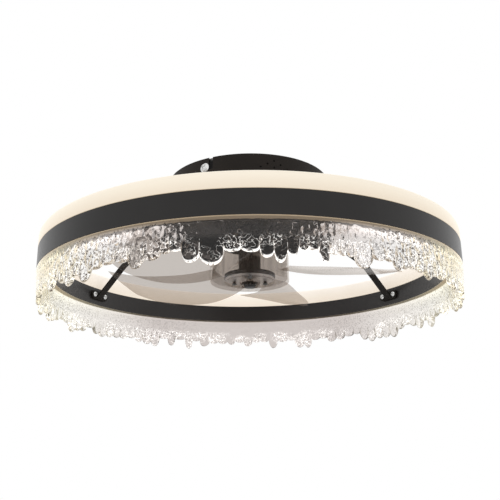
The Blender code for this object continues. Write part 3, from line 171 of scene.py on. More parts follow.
# Roundings and small edges
SOFT_EDGE, THIN_EDGE, CHANNEL_EDGE = 0.0004, 0.0003, 0.00035
SLOT_END_ROUNDING, SLOT_TURN_ROUNDING = 0.0024, 0.0012
SLOT_STEP_ROUNDING, SLOT_MOUTH_ROUNDING = 0.0005, 0.0002
MOTOR_TOP_ROUNDING, MOTOR_FOOT_ROUNDING = 0.0008, 0.0009
SLEEVE_ROUNDING, FLANGE_ROUNDING = 0.0008, 0.0008
NUT_CORNER_ROUNDING, NUT_EDGE, NUT_SHOULDER = 0.0006, 0.0002, 0.0006
HUB_RIM_ROUNDING, HUB_INNER_ROUNDING = 0.0007, 0.0012
COLLAR_ROOT_ROUNDING, COLLAR_ROUNDING = 0.0008, 0.0006
BLADE_TIP_ROUNDING = 0.001
ARM_FLAT_BEND, ARM_KNEE_BEND, ARM_FOOT_BEND = 0.006, 0.009, 0.0028
DIFFUSER_INNER_ROUNDING = 0.002

# A rounded corner reaches at most this share of the shorter side beside it, and the points that
# keep the flats flat lie this much further out than its ends
CORNER_REACH_SHARE, CORNER_GUARD = 0.42, 1.18

# Shapes


def smooth(low, high, value):
    """0 below low, 1 above high, and t * t * (3 - 2 t) between them."""
    t = np.clip((value - low) / (high - low), 0, 1)
    return t * t * (3 - 2 * t)


def blend(first, second, share):
    """First at share 0, second at share 1, in a straight line between."""
    return first + (second - first) * share


def polar(radius, angle, height=0.0):
    """Points at a radius and an angle in degrees round Z, at a height."""
    turn = np.radians(angle)
    radius, turn, height = np.broadcast_arrays(radius, turn, height)
    return np.stack([radius * np.cos(turn), radius * np.sin(turn), height], axis=-1)


def beside(radius, side, angle, height):
    """A point at a radius along an angle, then sideways, anticlockwise."""
    return polar(radius, angle, height) + polar(side, angle + 90)


def mesh_from(name, points, faces, crease=38):
    """A smooth mesh of points and faces, turned outwards if its volume comes out negative.

    The volume is the sum over all triangles of a . (b x c) / 6, taken from the first point.
    """
    points = np.asarray(points, float).reshape(-1, 3)
    faces = [np.asarray(part) for part in faces]
    first = points[faces[0][0, 0]]
    volume = 0.0
    for part in faces:
        for corner in range(1, part.shape[1] - 1):
            a, b, c = (points[part[:, k]] - first for k in (0, corner, corner + 1))
            volume += np.einsum("ij,ij->i", a, np.cross(b, c)).sum()
    rows = [row for part in faces for row in (part if volume > 0 else part[:, ::-1]).tolist()]
    mesh = bpy.data.meshes.new(name)
    mesh.from_pydata(points.tolist(), [], rows)
    mesh.shade_smooth()
    mesh.set_sharp_from_angle(angle=math.radians(crease))
    return mesh


def wrapped_faces(around, along, closed):
    """Quads of a grid that wraps round its first way, and round its second too if closed."""
    index = np.arange(around * along).reshape(around, along)
    after = np.roll(index, -1, axis=0)
    if closed:
        down, down_after = np.roll(index, -1, axis=1), np.roll(after, -1, axis=1)
        return np.stack([index, after, down_after, down], axis=-1).reshape(-1, 4)
    corners = [index[:, :-1], after[:, :-1], after[:, 1:], index[:, 1:]]
    return np.stack(corners, axis=-1).reshape(-1, 4)


def closed_mesh(name, grid, poles=None, crease=38):
    """A grid that wraps round; its ends meet each other, or close in fans at two poles."""
    around, along = grid.shape[:2]
    quads = wrapped_faces(around, along, poles is None)
    points = grid.reshape(-1, 3)
    if poles is None:
        return mesh_from(name, points, [quads], crease)
    index = np.arange(around * along).reshape(around, along)
    after = np.roll(index, -1, axis=0)
    top = np.full(around, len(points))
    start = np.stack([top, after[:, 0], index[:, 0]], axis=-1)
    end = np.stack([top + 1, index[:, -1], after[:, -1]], axis=-1)
    return mesh_from(name, np.vstack([points, poles]), [quads, start, end], crease)


def rounded(corners, steps=4, closed=True):
    """An outline whose corners, rows of (x, y, reach), are cut back by the reach and rounded.

    Each corner becomes the curve (1 - s)^2 A + 2 s (1 - s) P + s^2 B, where A and B lie the
    reach before and after the corner P, with one more point beyond each to keep the flats flat.
    """
    rows = np.array(corners, float)
    place, reach = rows[:, :2], rows[:, 2]
    before, after = np.roll(place, 1, axis=0) - place, np.roll(place, -1, axis=0) - place
    long_before, long_after = np.linalg.norm(before, axis=1), np.linalg.norm(after, axis=1)
    reach = np.minimum(reach, CORNER_REACH_SHARE * np.minimum(long_before, long_after))
    way_before = before / np.maximum(long_before, 1e-9)[:, None]
    way_after = after / np.maximum(long_after, 1e-9)[:, None]
    s = np.linspace(0, 1, steps + 1)[None, :, None]
    start = (place + way_before * reach[:, None])[:, None]
    end = (place + way_after * reach[:, None])[:, None]
    curve = (1 - s) ** 2 * start + 2 * s * (1 - s) * place[:, None] + s**2 * end
    lead = (place + way_before * reach[:, None] * CORNER_GUARD)[:, None]
    trail = (place + way_after * reach[:, None] * CORNER_GUARD)[:, None]
    full = np.concatenate([lead, curve, trail], axis=1)
    if closed:
        return full.reshape(-1, 2)
    return np.vstack([place[:1], full[1:-1].reshape(-1, 2), place[-1:]])


def turned_grid(outline, columns):
    """(radius, height) points carried round Z: x = r cos a, y = r sin a, z = height."""
    angle = np.linspace(0, 360, columns, endpoint=False)
    return polar(outline[None, :, 0], angle[:, None], outline[None, :, 1])


def turned(name, corners, columns, steps=4):
    """A ring with a closed outline of (radius, height, reach) corners."""
    return closed_mesh(name, turned_grid(rounded(corners, steps), columns))


def turned_solid(name, corners, columns):
    """A turned piece whose open outline starts and ends on the axis."""
    outline = rounded(corners, closed=False)
    poles = [(0, 0, outline[0, 1]), (0, 0, outline[-1, 1])]
    return closed_mesh(name, turned_grid(outline[1:-1], columns), poles)


def smooth_through(rows, places):
    """Reads a smooth curve through rows of (place, value) at the given places.

    Between two rows it is the cubic that keeps both values and both slopes, where a row's slope
    is the mean of the slopes beside it, weighted by the nearness of its neighbours.
    """
    knots = np.array([row[0] for row in rows])
    values = np.array([row[1] for row in rows])
    slopes = np.gradient(values, knots)
    index = np.clip(np.searchsorted(knots, places) - 1, 0, len(knots) - 2)
    span = knots[index + 1] - knots[index]
    t = (places - knots[index]) / span
    start = (1 + 2 * t) * (1 - t) ** 2 * values[index] + t * (1 - t) ** 2 * span * slopes[index]
    end = t**2 * (3 - 2 * t) * values[index + 1] + t**2 * (t - 1) * span * slopes[index + 1]
    return start + end


def put(name, mesh, body, slot, *replaced, finish=None):
    """An object for a mesh, riding on a body, with its slot and the solids that it stands for."""
    piece = bpy.data.objects.new(name, mesh)
    bpy.context.scene.collection.objects.link(piece)
    mesh.materials.append(FINISHES[finish or slot])
    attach(piece, body)
    if replaced:
        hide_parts(*replaced)
    return piece


def joined(name, meshes):
    """One mesh that holds several closed ones side by side."""
    shape_points, shape_faces, start = [], [], 0
    for mesh in meshes:
        points = np.zeros(len(mesh.vertices) * 3)
        mesh.vertices.foreach_get("co", points)
        shape_points.append(points.reshape(-1, 3))
        shape_faces += [[index + start for index in face.vertices] for face in mesh.polygons]
        start += len(mesh.vertices)
        bpy.data.meshes.remove(mesh)
    whole = bpy.data.meshes.new(name)
    whole.from_pydata(np.vstack(shape_points).tolist(), [], shape_faces)
    return whole


def moved(mesh, matrix):
    """The mesh itself, after a turn and a shift of all its points."""
    mesh.transform(matrix)
    return mesh


def carved(mesh, helper_mesh, operation="DIFFERENCE", crease=38):
    """The mesh cut by, or united with, a helper, with smooth shading between creases."""
    thing = bpy.data.objects.new("carved", mesh)
    helper = bpy.data.objects.new("helper", helper_mesh)
    for item in (thing, helper):
        bpy.context.scene.collection.objects.link(item)
    modifier = thing.modifiers.new("carve", "BOOLEAN")
    modifier.operation, modifier.solver, modifier.object = operation, "EXACT", helper
    bpy.context.view_layer.update()
    graph = bpy.context.evaluated_depsgraph_get()
    result = bpy.data.meshes.new_from_object(thing.evaluated_get(graph))
    for item in (thing, helper):
        bpy.data.objects.remove(item, do_unlink=True)
    result.name = mesh.name
    result.shade_smooth()
    result.set_sharp_from_angle(angle=math.radians(crease))
    return result


def facing(direction, place):
    """The matrix that stands a piece made about Z at a place, its Z along the direction."""
    turn = Vector(direction).to_track_quat("Z", "Y").to_matrix().to_4x4()
    return Matrix.Translation(Vector(place)) @ turn


def cutter(radius, low, high, sides=24):
    """A plain closed rod about Z whose ends close in fans."""
    outline = np.array([(radius, low), (radius, high)])
    return closed_mesh("cutter", turned_grid(outline, sides), [(0, 0, low), (0, 0, high)])


def holes(rows, depth):
    """A helper that drills round holes; each row is a radius and the matrix that stands it."""
    return joined("holes", [moved(cutter(radius, 0, depth), stand) for radius, stand in rows])


# Finishes


class Value:
    """A shader socket; sums with it add Math nodes."""

    def __init__(self, finish, socket):
        self.finish, self.socket = finish, socket

    def maths(self, operation, *others):
        """A Math node on this value and any others after it."""
        return self.finish.node("ShaderNodeMath", {"operation": operation}, self, *others)

    def __add__(self, other):
        return self.maths("ADD", other)

    def __mul__(self, other):
        return self.maths("MULTIPLY", other)

    def __sub__(self, other):
        return self.maths("SUBTRACT", other)

    def __rsub__(self, other):
        return self.finish.node("ShaderNodeMath", {"operation": "SUBTRACT"}, other, self)

    def __truediv__(self, other):
        return self.maths("DIVIDE", other)

    def __gt__(self, other):
        return self.maths("GREATER_THAN", other)

    def __abs__(self):
        return self.maths("ABSOLUTE")

    __radd__, __rmul__ = __add__, __mul__

    def between(self, low, high):
        """0 at low and 1 at high, smooth between."""
        settings = {"interpolation_type": "SMOOTHSTEP"}
        return self.finish.node("ShaderNodeMapRange", settings, self, low, high, 0.0, 1.0)

    def within(self, rise, fall):
        """0, then 1 after the rise and 0 again after the fall, each a pair of low and high."""
        return self.between(*rise) * (1 - self.between(*fall))


class Finish:
    """A procedural material on a Principled shader, with its node tree."""

    def __init__(self, name, **constants):
        self.material = bpy.data.materials.new(name)
        self.material.use_nodes = True
        self.tree = self.material.node_tree
        self.shader = self.tree.nodes["Principled BSDF"]
        for socket, value in constants.items():
            self.shader.inputs[socket.replace("_", " ")].default_value = value
        self.place = self.node("ShaderNodeTexCoord", {}, out="Object")

    def node(self, kind, settings, *values, out=0, **named):
        """Adds a node, sets it up, fills its sockets in order or by name, and gives an output."""
        node = self.tree.nodes.new(kind)
        for key, value in settings.items():
            setattr(node, key, value)
        for key, value in list(enumerate(values)) + list(named.items()):
            socket = node.inputs[key.replace("_", " ") if isinstance(key, str) else key]
            if isinstance(value, Value):
                self.tree.links.new(value.socket, socket)
            elif value is not None:
                socket.default_value = value
        return Value(self, node.outputs[out])

    def noise(self, scale, detail=2.0, roughness=0.5, place=None):
        """Soft noise round 0.5, about scale cells to the metre, at the object's own place unless
        another place is given."""
        vector = self.place if place is None else place
        return self.node("ShaderNodeTexNoise", {}, Vector=vector, Scale=scale, Detail=detail,
                         Roughness=roughness, out="Fac")

    def stretched(self, across, down):
        """The place with its level ways and its height scaled, for grain that runs one way. A
        noise of scale 1 there has as many cells to the metre as each scale says."""
        return self.node("ShaderNodeVectorMath", {"operation": "MULTIPLY"}, self.place,
                         (across, across, down))

    def part(self, way):
        """One way of the place: X, Y or Z, in metres."""
        return self.node("ShaderNodeSeparateXYZ", {}, self.place, out=way)

    def reach(self):
        """The distance from the Z axis, in metres."""
        x, y = self.part("X"), self.part("Y")
        return (x * x + y * y).maths("SQRT")

    def around(self):
        """The angle round the Z axis, in turns from 0 to 1."""
        return self.part("Y").maths("ARCTAN2", self.part("X")) / math.tau + 0.5

    def mix(self, share, first, second):
        """A colour between two, by a share from 0 to 1."""
        node = self.tree.nodes.new("ShaderNodeMix")
        node.data_type = "RGBA"
        for index, value in ((0, share), (6, first), (7, second)):
            if isinstance(value, Value):
                self.tree.links.new(value.socket, node.inputs[index])
            else:
                node.inputs[index].default_value = value
        return Value(self, node.outputs[2])

    def bump(self, height, distance, strength):
        """A normal that follows a height from 0 to 1, over a distance in metres."""
        return self.node("ShaderNodeBump", {}, Height=height, Distance=distance, Strength=strength)

    def wear(self, **sockets):
        """Links values or colours to the shader's sockets."""
        for socket, value in sockets.items():
            self.tree.links.new(value.socket, self.shader.inputs[socket.replace("_", " ")])
        return self.material

    def show_through(self, veil, tint):
        """Lets a tinted clear film show through the shader: veil is the shader's own share."""
        film = self.node("ShaderNodeBsdfTransparent", {}, tint)
        both = self.node("ShaderNodeMixShader", {}, veil, film, Value(self, self.shader.outputs[0]))
        self.tree.links.new(both.socket, self.tree.nodes["Material Output"].inputs["Surface"])


def colour(red, green, blue):
    """A tone as a socket takes it, with its fourth channel."""
    return (red, green, blue, 1.0)


def shade(tone, share, lift=0.0):
    """A tone made darker or lighter by a share, then lifted by an amount, as a socket takes it."""
    return colour(*[channel * share + lift for channel in tone])


def paint(name, tone, roughness, grain, shine, coat=0.0, painted_glow_share=1.0):
    """Satin paint over metal: a fine orange peel, cloudy gloss and a little settled dust.

    A ring's inner wall can be painted paler by painted_glow_share, a painted glow for the light
    that falls on it.
    """
    finish = Finish(name, Specular_IOR_Level=shine, Coat_Weight=coat, Coat_Roughness=0.2)
    cloud = finish.noise(9, 3.0)
    peel = finish.noise(grain, 2.0) + finish.noise(grain * 3.1, 1.0) * 0.4
    dust = finish.noise(240, 4.0, 0.7).between(0.62, 0.8)
    body = finish.mix(cloud.between(0.3, 0.7), shade(tone, 0.82), shade(tone, 1.2, 0.001))
    # Painted light: the ring's inner wall is painted paler, a painted glow from the light that
    # falls on it
    if painted_glow_share != 1.0:
        near, far = PAINTED_GLOW_WALL_DEPTHS
        inside = 1 - finish.reach().between(RING_INNER + near, RING_INNER + far)
        body = finish.mix(inside, body, shade(tone, painted_glow_share))
    dusty = finish.mix(dust * PAINT_DUST, body, colour(*DUST))
    gloss = roughness + (cloud - 0.5) * 0.08 + dust * 0.12
    return finish.wear(Base_Color=dusty, Roughness=gloss, Normal=finish.bump(peel, 0.0002, 0.12))


def plate(name, tone, roughness, grain):
    """Plated steel: fine grain, a faint bloom and darker stains."""
    finish = Finish(name, Metallic=1.0)
    fine = finish.noise(grain, 3.0, 0.6)
    bloom = finish.noise(160, 3.0)
    stain = finish.noise(55, 4.0, 0.65).between(0.55, 0.75)
    body = finish.mix(bloom, shade(tone, 0.9), shade(tone, 1.08))
    stained = finish.mix(stain * 0.25, body, shade(tone, 0.6))
    gloss = roughness + fine * 0.12 + stain * 0.1
    return finish.wear(Base_Color=stained, Roughness=gloss, Normal=finish.bump(fine, 0.0001, 0.25))


def faced(name):
    """Black paint, with a bare turned face underneath: fine rings of tool marks round the shaft.

    The marks are sin(9000 r), with r the distance from the shaft's axis.
    """
    finish = Finish(name, Specular_IOR_Level=0.2)
    reach, cloud = finish.reach(), finish.noise(30, 3.0)
    under = (FLANGE_BOTTOM + FLANGE_FACE_DEPTH) - finish.part("Z") > 0.0
    bare = under * (FLANGE_FACE_RADIUS - reach > 0.0)
    marks = (reach * 9000.0).maths("SINE")
    metal = finish.mix(cloud, colour(0.84, 0.82, 0.82), colour(0.93, 0.91, 0.91))
    black = finish.mix(cloud, colour(0.011, 0.01, 0.01), colour(0.016, 0.015, 0.015))
    return finish.wear(Base_Color=finish.mix(bare, black, metal), Metallic=bare,
                       Roughness=0.42 + cloud * 0.1 - bare * 0.1,
                       Normal=finish.bump(marks * bare, 0.00005, 0.3))


def grained(name):
    """A black extruded sleeve: long soft draw lines that run up and down it."""
    finish = Finish(name, Specular_IOR_Level=0.3)
    lines = finish.noise(1.0, 3.0, 0.6, finish.stretched(700, 4))
    cloud = finish.noise(40, 3.0)
    body = finish.mix(lines.between(0.3, 0.7), colour(0.012, 0.011, 0.0105),
                      colour(0.055, 0.05, 0.047))
    return finish.wear(Base_Color=body, Roughness=0.4 + cloud * 0.12,
                       Normal=finish.bump(lines, 0.0002, 0.4))


def moulded(name, tone):
    """Moulded plastic: a fine spark grain and slightly uneven colour."""
    finish = Finish(name)
    cloud, spark = finish.noise(30, 3.0), finish.noise(2400, 1.0)
    body = finish.mix(cloud, shade(tone, 0.93), colour(*tone))
    return finish.wear(Base_Color=body, Roughness=0.45 + (cloud - 0.5) * 0.1 + spark * 0.05,
                       Normal=finish.bump(spark, 0.0001, 0.3))


def board(name):
    """A green circuit board: copper tracks under the mask, and pads in square cells."""
    finish = Finish(name, Coat_Weight=0.3)
    cells = finish.node("ShaderNodeTexVoronoi", {"distance": "CHEBYCHEV"}, Vector=finish.place,
                        Scale=170.0, out="Distance")
    tracks = finish.node("ShaderNodeTexBrick", {}, Vector=finish.place,
                         Color1=colour(0, 0, 0), Color2=colour(0, 0, 0), Mortar=colour(1, 1, 1),
                         Scale=60.0, Mortar_Size=0.018, out="Fac")
    mask = finish.mix(tracks, colour(0.02, 0.16, 0.07), colour(0.06, 0.3, 0.12))
    pads = finish.mix(0.16 - cells > 0.0, mask, colour(0.7, 0.68, 0.62))
    height = tracks * 0.6 + finish.noise(900, 1.0) * 0.2
    return finish.wear(Base_Color=pads, Roughness=0.32 + tracks * 0.15,
                       Normal=finish.bump(height, 0.0001, 0.4))


def light_board(name):
    """A white board with yellow light chips at even steps round the ring."""
    finish = Finish(name)
    steps = finish.around() * CHIP_COUNT
    middle = abs(steps - steps.maths("FLOOR") - 0.5)
    side = abs(finish.reach() - (RING_RADIUS - RING_WIDTH / 2))
    chip = (CHIP_HALF_SHARE - middle > 0.0) * (CHIP_HALF_WIDTH - side > 0.0)
    cloud = finish.noise(60, 3.0)
    mask = finish.mix(cloud, colour(0.84, 0.84, 0.8), colour(0.92, 0.92, 0.88))
    body = finish.mix(chip, mask, colour(0.95, 0.76, 0.2))
    return finish.wear(Base_Color=body, Roughness=0.5 - chip * 0.2,
                       Normal=finish.bump(chip + cloud * 0.1, 0.0002, 0.5))


def winding(name):
    """Varnished copper wire: turns laid side by side, with glints between grooves painted dark as
    shade.
    """
    finish = Finish(name, Metallic=0.85, Coat_Weight=0.4)
    wave = finish.node("ShaderNodeTexWave", {"bands_direction": "Z"}, Vector=finish.place,
                       Scale=420.0, Distortion=1.2, Detail=2.0, out="Fac")
    tone = finish.noise(70, 3.0)
    body = finish.mix(tone, colour(0.5, 0.2, 0.08), colour(0.72, 0.36, 0.17))
    # Painted shade: the grooves between the turns are painted dark
    deep = finish.mix(wave, colour(0.16, 0.06, 0.03), body)
    return finish.wear(Base_Color=deep, Roughness=0.42 - wave * 0.15,
                       Normal=finish.bump(wave, 0.0002, 0.8))


def opal(name):
    """An opal hood lit from inside: even cream light, a little deeper towards the channel and
    paler on the wall that faces the fan."""
    finish = Finish(name, Emission_Strength=OPAL_GLOW)
    height = finish.part("Z").between(RING_INNER_TOP, RING_TOP + DIFFUSER_HEIGHT)
    cloud = finish.noise(24, 3.0)
    flow = finish.noise(1.0, 2.0, 0.5, finish.stretched(60, 400))
    near, far = OPAL_INNER_DEPTHS
    inside = 1 - finish.reach().between(RING_INNER + near, RING_INNER + far)
    outer = finish.mix(height, colour(*OPAL_LOW), colour(*OPAL_HIGH))
    inner = finish.mix(height, colour(*OPAL_INNER_LOW), colour(*OPAL_INNER_HIGH))
    even = finish.mix(cloud * 0.25, finish.mix(inside, outer, inner), shade(OPAL_LOW, 0.96))
    body = finish.mix(cloud, shade(OPAL_BODY, 0.97), colour(*OPAL_BODY))
    return finish.wear(Base_Color=body, Emission_Color=even, Roughness=0.28 + flow * 0.1,
                       Normal=finish.bump(flow, 0.0001, 0.15))


class IcePlaces:
    """Where on the skirt a place lies: shares from 0 to 1, in metres from the ring's middle
    planes and below its lower edge, and a few noises that several looks share. Most of them lay
    out the skirt's painted shade and painted light."""

    def __init__(self, finish):
        self.finish = finish
        self.across, self.along = finish.part("X"), finish.part("Y")
        self.side = abs(self.across)
        self.end = self.side.between(*ICE_END)
        self.back = self.along.between(*ICE_BACK)
        self.front = 1 - self.along.between(*ICE_FRONT)
        # The ends, which take a painted warm light in tint and emission, less at the back
        self.pale = self.end * (1 - self.back * 0.55)
        self.body = 1 - self.above(ICE_BODY_DEPTHS)
        self.low = 1 - self.above(ICE_LOW_DEPTHS)
        # The collar takes a brown painted shade and a painted glow, less at the back
        self.collar = self.above(ICE_COLLAR_DEPTHS) * (1 - self.back * 0.8)
        self.lobe = self.front * (1 - self.side.between(*ICE_LOBE_END)) * self.low
        kept = {"attribute_name": "near_rim"}
        self.near_rim = finish.node("ShaderNodeAttribute", kept, out="Fac")
        self.clump = finish.noise(45, 1.0).between(0.42, 0.55)
        strand = abs(finish.noise(ICE_NET_SCALE, 2.0) - 0.5)
        # Strands of painted glints: left clear in the tint and lit in the emission
        self.net = (1 - strand.between(ICE_NET_THIN, ICE_NET_WIDE)) * self.low * self.clump
        # Flecks and blots of painted shade
        self.shade_spots = self.shade_flecks().maths("MAXIMUM", self.shade_blots()) * self.body

    def above(self, depths):
        """0 at the first of two depths below the ring's lower edge and 1 at the second."""
        deep, shallow = depths
        return self.finish.part("Z").between(RING_BOTTOM - deep, RING_BOTTOM - shallow)

    def shade_flecks(self):
        """Fine flecks of painted shade in patches, away from the front's middle and fewer at the
        back.
        """
        patch = self.finish.noise(34, 2.0).between(0.2, 0.45) * self.side.between(*ICE_FLECK_SIDES)
        fleck = self.finish.noise(ICE_FLECK_SCALE, 3.0, 0.65).between(*ICE_FLECK_STEP)
        return fleck * patch * (1 - self.back * 0.6)

    def shade_blots(self):
        """Larger blots of painted shade on the front, to the left of its middle."""
        where = (0.0 - self.across).within(*ICE_BLOT_SIDES) * self.front
        return self.finish.noise(ICE_BLOT_SCALE, 2.0).between(*ICE_BLOT_STEP) * where


def ice_tint(finish, at):
    """Clear at the ends, whose tint is warmed there as painted light. Painted shade darkens it at
    the front and the back, inside the front's middle lobes, in dark spots and in a brown line at
    the collar; the glinting strands stay clear as painted highlights."""
    upper = at.above(ICE_UPPER_SHADE_DEPTHS)
    # Painted shade darkens the tint at the front, at the back and in an upper band
    painted_shade = (upper * 0.2 + at.front * 0.8).maths("MAXIMUM", at.back) * (1 - at.pale)
    # The ends' tint is warmed as painted light
    plain = finish.mix(at.pale, colour(*ICE_TINT), colour(*ICE_END_WARM_LIGHT_TINT))
    clear = finish.mix(painted_shade * (1 - at.net), plain, colour(*ICE_PAINTED_SHADE_TINT))
    # Painted shade: dark cores inside the front's middle lobes, away from their rims
    core_shade = at.lobe * (1 - at.near_rim.between(0.2, 0.7)) * (1 - at.net)
    cored = finish.mix(core_shade, clear, colour(*ICE_CORE_PAINTED_SHADE))
    # Painted shade: the dark spots
    flecked = finish.mix(at.shade_spots, cored, colour(*ICE_FLECK_PAINTED_SHADE))
    # Painted shade: a brown line at the collar
    return finish.mix(at.collar, flecked, colour(*ICE_COLLAR_PAINTED_SHADE))


def ice_light(finish, at):
    """Painted light, an emission although the ice is no lamp: at the ends, in a crown above them
    and a brow beside the front's middle, as painted glints in strands and along the rims of the
    middle lobes, and as a painted glow from the channel into the collar. The painted dark spots
    stay dark."""
    crown = at.end * at.above(ICE_CROWN_DEPTHS) * (1 - at.back * 0.8)
    brow = at.side.within(*ICE_BROW_SIDES) * (1 - at.back) * at.body * at.above(ICE_BROW_DEPTHS)
    breaks = finish.noise(ICE_NET_SCALE, 2.0).between(0.38, 0.48)
    outline = at.near_rim.between(0.25, 0.6) * at.lobe * breaks
    # Painted light: each mask lays its emission over the last
    light = finish.mix(at.pale, colour(*ICE_LIGHT), colour(*ICE_END_LIGHT))
    for share, tone in ((crown, ICE_CROWN_LIGHT), (brow, ICE_BROW_LIGHT), (at.net, ICE_GLINT),
                        (outline, ICE_OUTLINE_LIGHT), (at.shade_spots, ICE_SHADE), (at.collar, ICE_GLOW)):
        light = finish.mix(share, light, colour(*tone))
    return light


def ice(name):
    """Clear moulded acrylic with small level ripples in clumps, stronger on the lower half, and a
    trace of frost; its painted shade and painted light change round the ring."""
    # The emission is painted light: the ice glows although it is no lamp
    finish = Finish(name, Transmission_Weight=1.0, IOR=ICE_IOR, Emission_Strength=1.0)
    at = IcePlaces(finish)
    dash = finish.noise(1.0, 2.0, 0.5, finish.stretched(ICE_DASH_ACROSS, ICE_DASH_DOWN))
    relief = dash.between(0.55, 0.59) * at.body * at.clump * (0.3 + at.low * 0.7)
    frost = finish.noise(90, 3.0).between(0.55, 0.9)
    return finish.wear(Base_Color=ice_tint(finish, at), Emission_Color=ice_light(finish, at),
                       Roughness=frost * 0.03, Normal=finish.bump(relief, ICE_BUMP, 1.0))


def smoky(name):
    """Clear smoke-brown moulding: a tinted film under a thin gloss, with soft streaks down the
    cup's wall, clouds of denser tint, and a few rubbed places."""
    finish = Finish(name, IOR=1.46, Specular_IOR_Level=0.5)
    streak = finish.noise(1.0, 2.0, 0.6, finish.stretched(330, 5)).between(0.3, 0.7)
    wall = 1 - finish.reach().between(HUB_RADIUS, HUB_RADIUS + HUB_WALL)
    flow = finish.noise(1.0, 2.0, 0.5, finish.stretched(38, 150))
    cloud = finish.noise(14, 3.0)
    rub = finish.noise(120, 4.0, 0.7).between(0.6, 0.8)
    body = finish.mix(cloud, shade(SMOKE, 0.9), shade(SMOKE, 1.1))
    veil = SMOKE_VEIL + (cloud - 0.5) * 0.05 + (streak - 0.4) * wall * 0.12 + rub * 0.02
    finish.show_through(veil, colour(*SMOKE_FILM))
    return finish.wear(Base_Color=body, Roughness=0.12 + cloud * 0.05 + rub * 0.1,
                       Normal=finish.bump(flow, 0.0004, 0.12))


def woven(name):
    """A woven sleeve round a lead: fine crossing threads."""
    finish = Finish(name, Specular_IOR_Level=0.1)
    threads = [finish.node("ShaderNodeTexWave", {"bands_direction": "DIAGONAL"}, Vector=place,
                           Scale=330.0, out="Fac")
               for place in (finish.place, finish.stretched(1.0, -1.0))]
    weave = threads[0].maths("MAXIMUM", threads[1])
    body = finish.mix(weave, colour(0.003, 0.003, 0.003), colour(0.014, 0.013, 0.013))
    return finish.wear(Base_Color=body, Roughness=0.72 - weave * 0.12,
                       Normal=finish.bump(weave, 0.0003, 0.6))


def sintered(name):
    """A dark ground magnet: fine grains with small bright chips."""
    finish = Finish(name, Metallic=0.6)
    grain, chips = finish.noise(1500, 2.0), finish.noise(420, 3.0).between(0.62, 0.72)
    body = finish.mix(chips, colour(0.09, 0.09, 0.1), colour(0.3, 0.3, 0.32))
    return finish.wear(Base_Color=body, Roughness=0.5 - chips * 0.15 + grain * 0.05,
                       Normal=finish.bump(grain, 0.0001, 0.4))


# Tones of the painted, plated and moulded pieces
BLACK_STEEL, BLACK_ALUMINIUM = (0.0125, 0.0095, 0.0072), (0.0115, 0.0102, 0.0096)
BRIGHT_STEEL, ZINC_STEEL = (0.78, 0.78, 0.77), (0.13, 0.125, 0.12)
WHITE_PLASTIC, DUST, PAINT_DUST = (0.83, 0.83, 0.8), (0.2, 0.19, 0.18), 0.04
# How far out from a ring's inner face the painted glow on its inner wall reaches and fades
PAINTED_GLOW_WALL_DEPTHS = (0.001, 0.002)
SMOKE, SMOKE_FILM, SMOKE_VEIL = (0.05, 0.038, 0.029), (0.972, 0.938, 0.908), 0.255

# The light board's chips: how many, and half their width along and across the ring
CHIP_COUNT, CHIP_HALF_SHARE, CHIP_HALF_WIDTH = 192.0, 0.17, 0.0016

# The diffuser's light near the channel and at its top, outside and on the side of the fan
OPAL_GLOW, OPAL_BODY = 1.0, (0.46, 0.44, 0.4)
OPAL_LOW, OPAL_HIGH = (0.4, 0.31, 0.2), (0.53, 0.47, 0.37)
OPAL_INNER_LOW, OPAL_INNER_HIGH = (0.6, 0.52, 0.43), (0.72, 0.66, 0.6)
OPAL_INNER_DEPTHS = (0.003, 0.009)

# Where the ice changes: X from the middle plane, Y, and depths below the ring's lower edge
ICE_END, ICE_BACK, ICE_FRONT = (0.13, 0.22), (-0.05, 0.14), (-0.235, -0.2)
# Where the front's middle lobes end, and where the flecks and blots of painted shade lie
ICE_LOBE_END, ICE_FLECK_SIDES = (0.066, 0.076), (0.05, 0.14)
ICE_BLOT_SIDES = ((0.05, 0.07), (0.1, 0.125))
ICE_BROW_SIDES = ((0.06, 0.11), (0.15, 0.2))
ICE_COLLAR_DEPTHS, ICE_BODY_DEPTHS = (0.0017, 0.0009), (0.0045, 0.0015)
# The first depths place an upper band of painted shade
ICE_UPPER_SHADE_DEPTHS, ICE_LOW_DEPTHS = (0.022, 0.013), (0.022, 0.015)
ICE_CROWN_DEPTHS, ICE_BROW_DEPTHS = (0.016, 0.003), (0.016, 0.007)

# The ice's tints and painted shade, its painted light (emission), and the fineness of its marks
ICE_IOR = 1.38
# The plain tint is the acrylic's own; the ends' tint is warmed as painted light
ICE_TINT, ICE_END_WARM_LIGHT_TINT = (0.965, 0.955, 0.94), (0.965, 0.952, 0.88)
# Painted shade: the tint at the front and back, inside the lobes, in the flecks and at the collar
ICE_PAINTED_SHADE_TINT, ICE_CORE_PAINTED_SHADE = (0.64, 0.585, 0.56), (0.06, 0.05, 0.045)
ICE_FLECK_PAINTED_SHADE, ICE_COLLAR_PAINTED_SHADE = (0.05, 0.04, 0.035), (0.5, 0.42, 0.32)
ICE_LIGHT, ICE_END_LIGHT = (0.001, 0.0008, 0.0007), (0.095, 0.092, 0.078)
ICE_CROWN_LIGHT, ICE_BROW_LIGHT = (0.19, 0.182, 0.12), (0.24, 0.22, 0.21)
ICE_GLINT, ICE_OUTLINE_LIGHT = (0.8, 0.78, 0.75), (1.0, 0.98, 0.95)
ICE_SHADE, ICE_GLOW = (0, 0, 0), (0.22, 0.175, 0.12)
ICE_DASH_ACROSS, ICE_DASH_DOWN, ICE_BUMP = 170.0, 120.0, 0.0005
ICE_NET_SCALE, ICE_NET_THIN, ICE_NET_WIDE = 230.0, 0.009, 0.022
# Flecks and blots of painted shade: their noise scales and steps
ICE_FLECK_SCALE, ICE_FLECK_STEP = 480.0, (0.561, 0.581)
ICE_BLOT_SCALE, ICE_BLOT_STEP = 230.0, (0.555, 0.575)

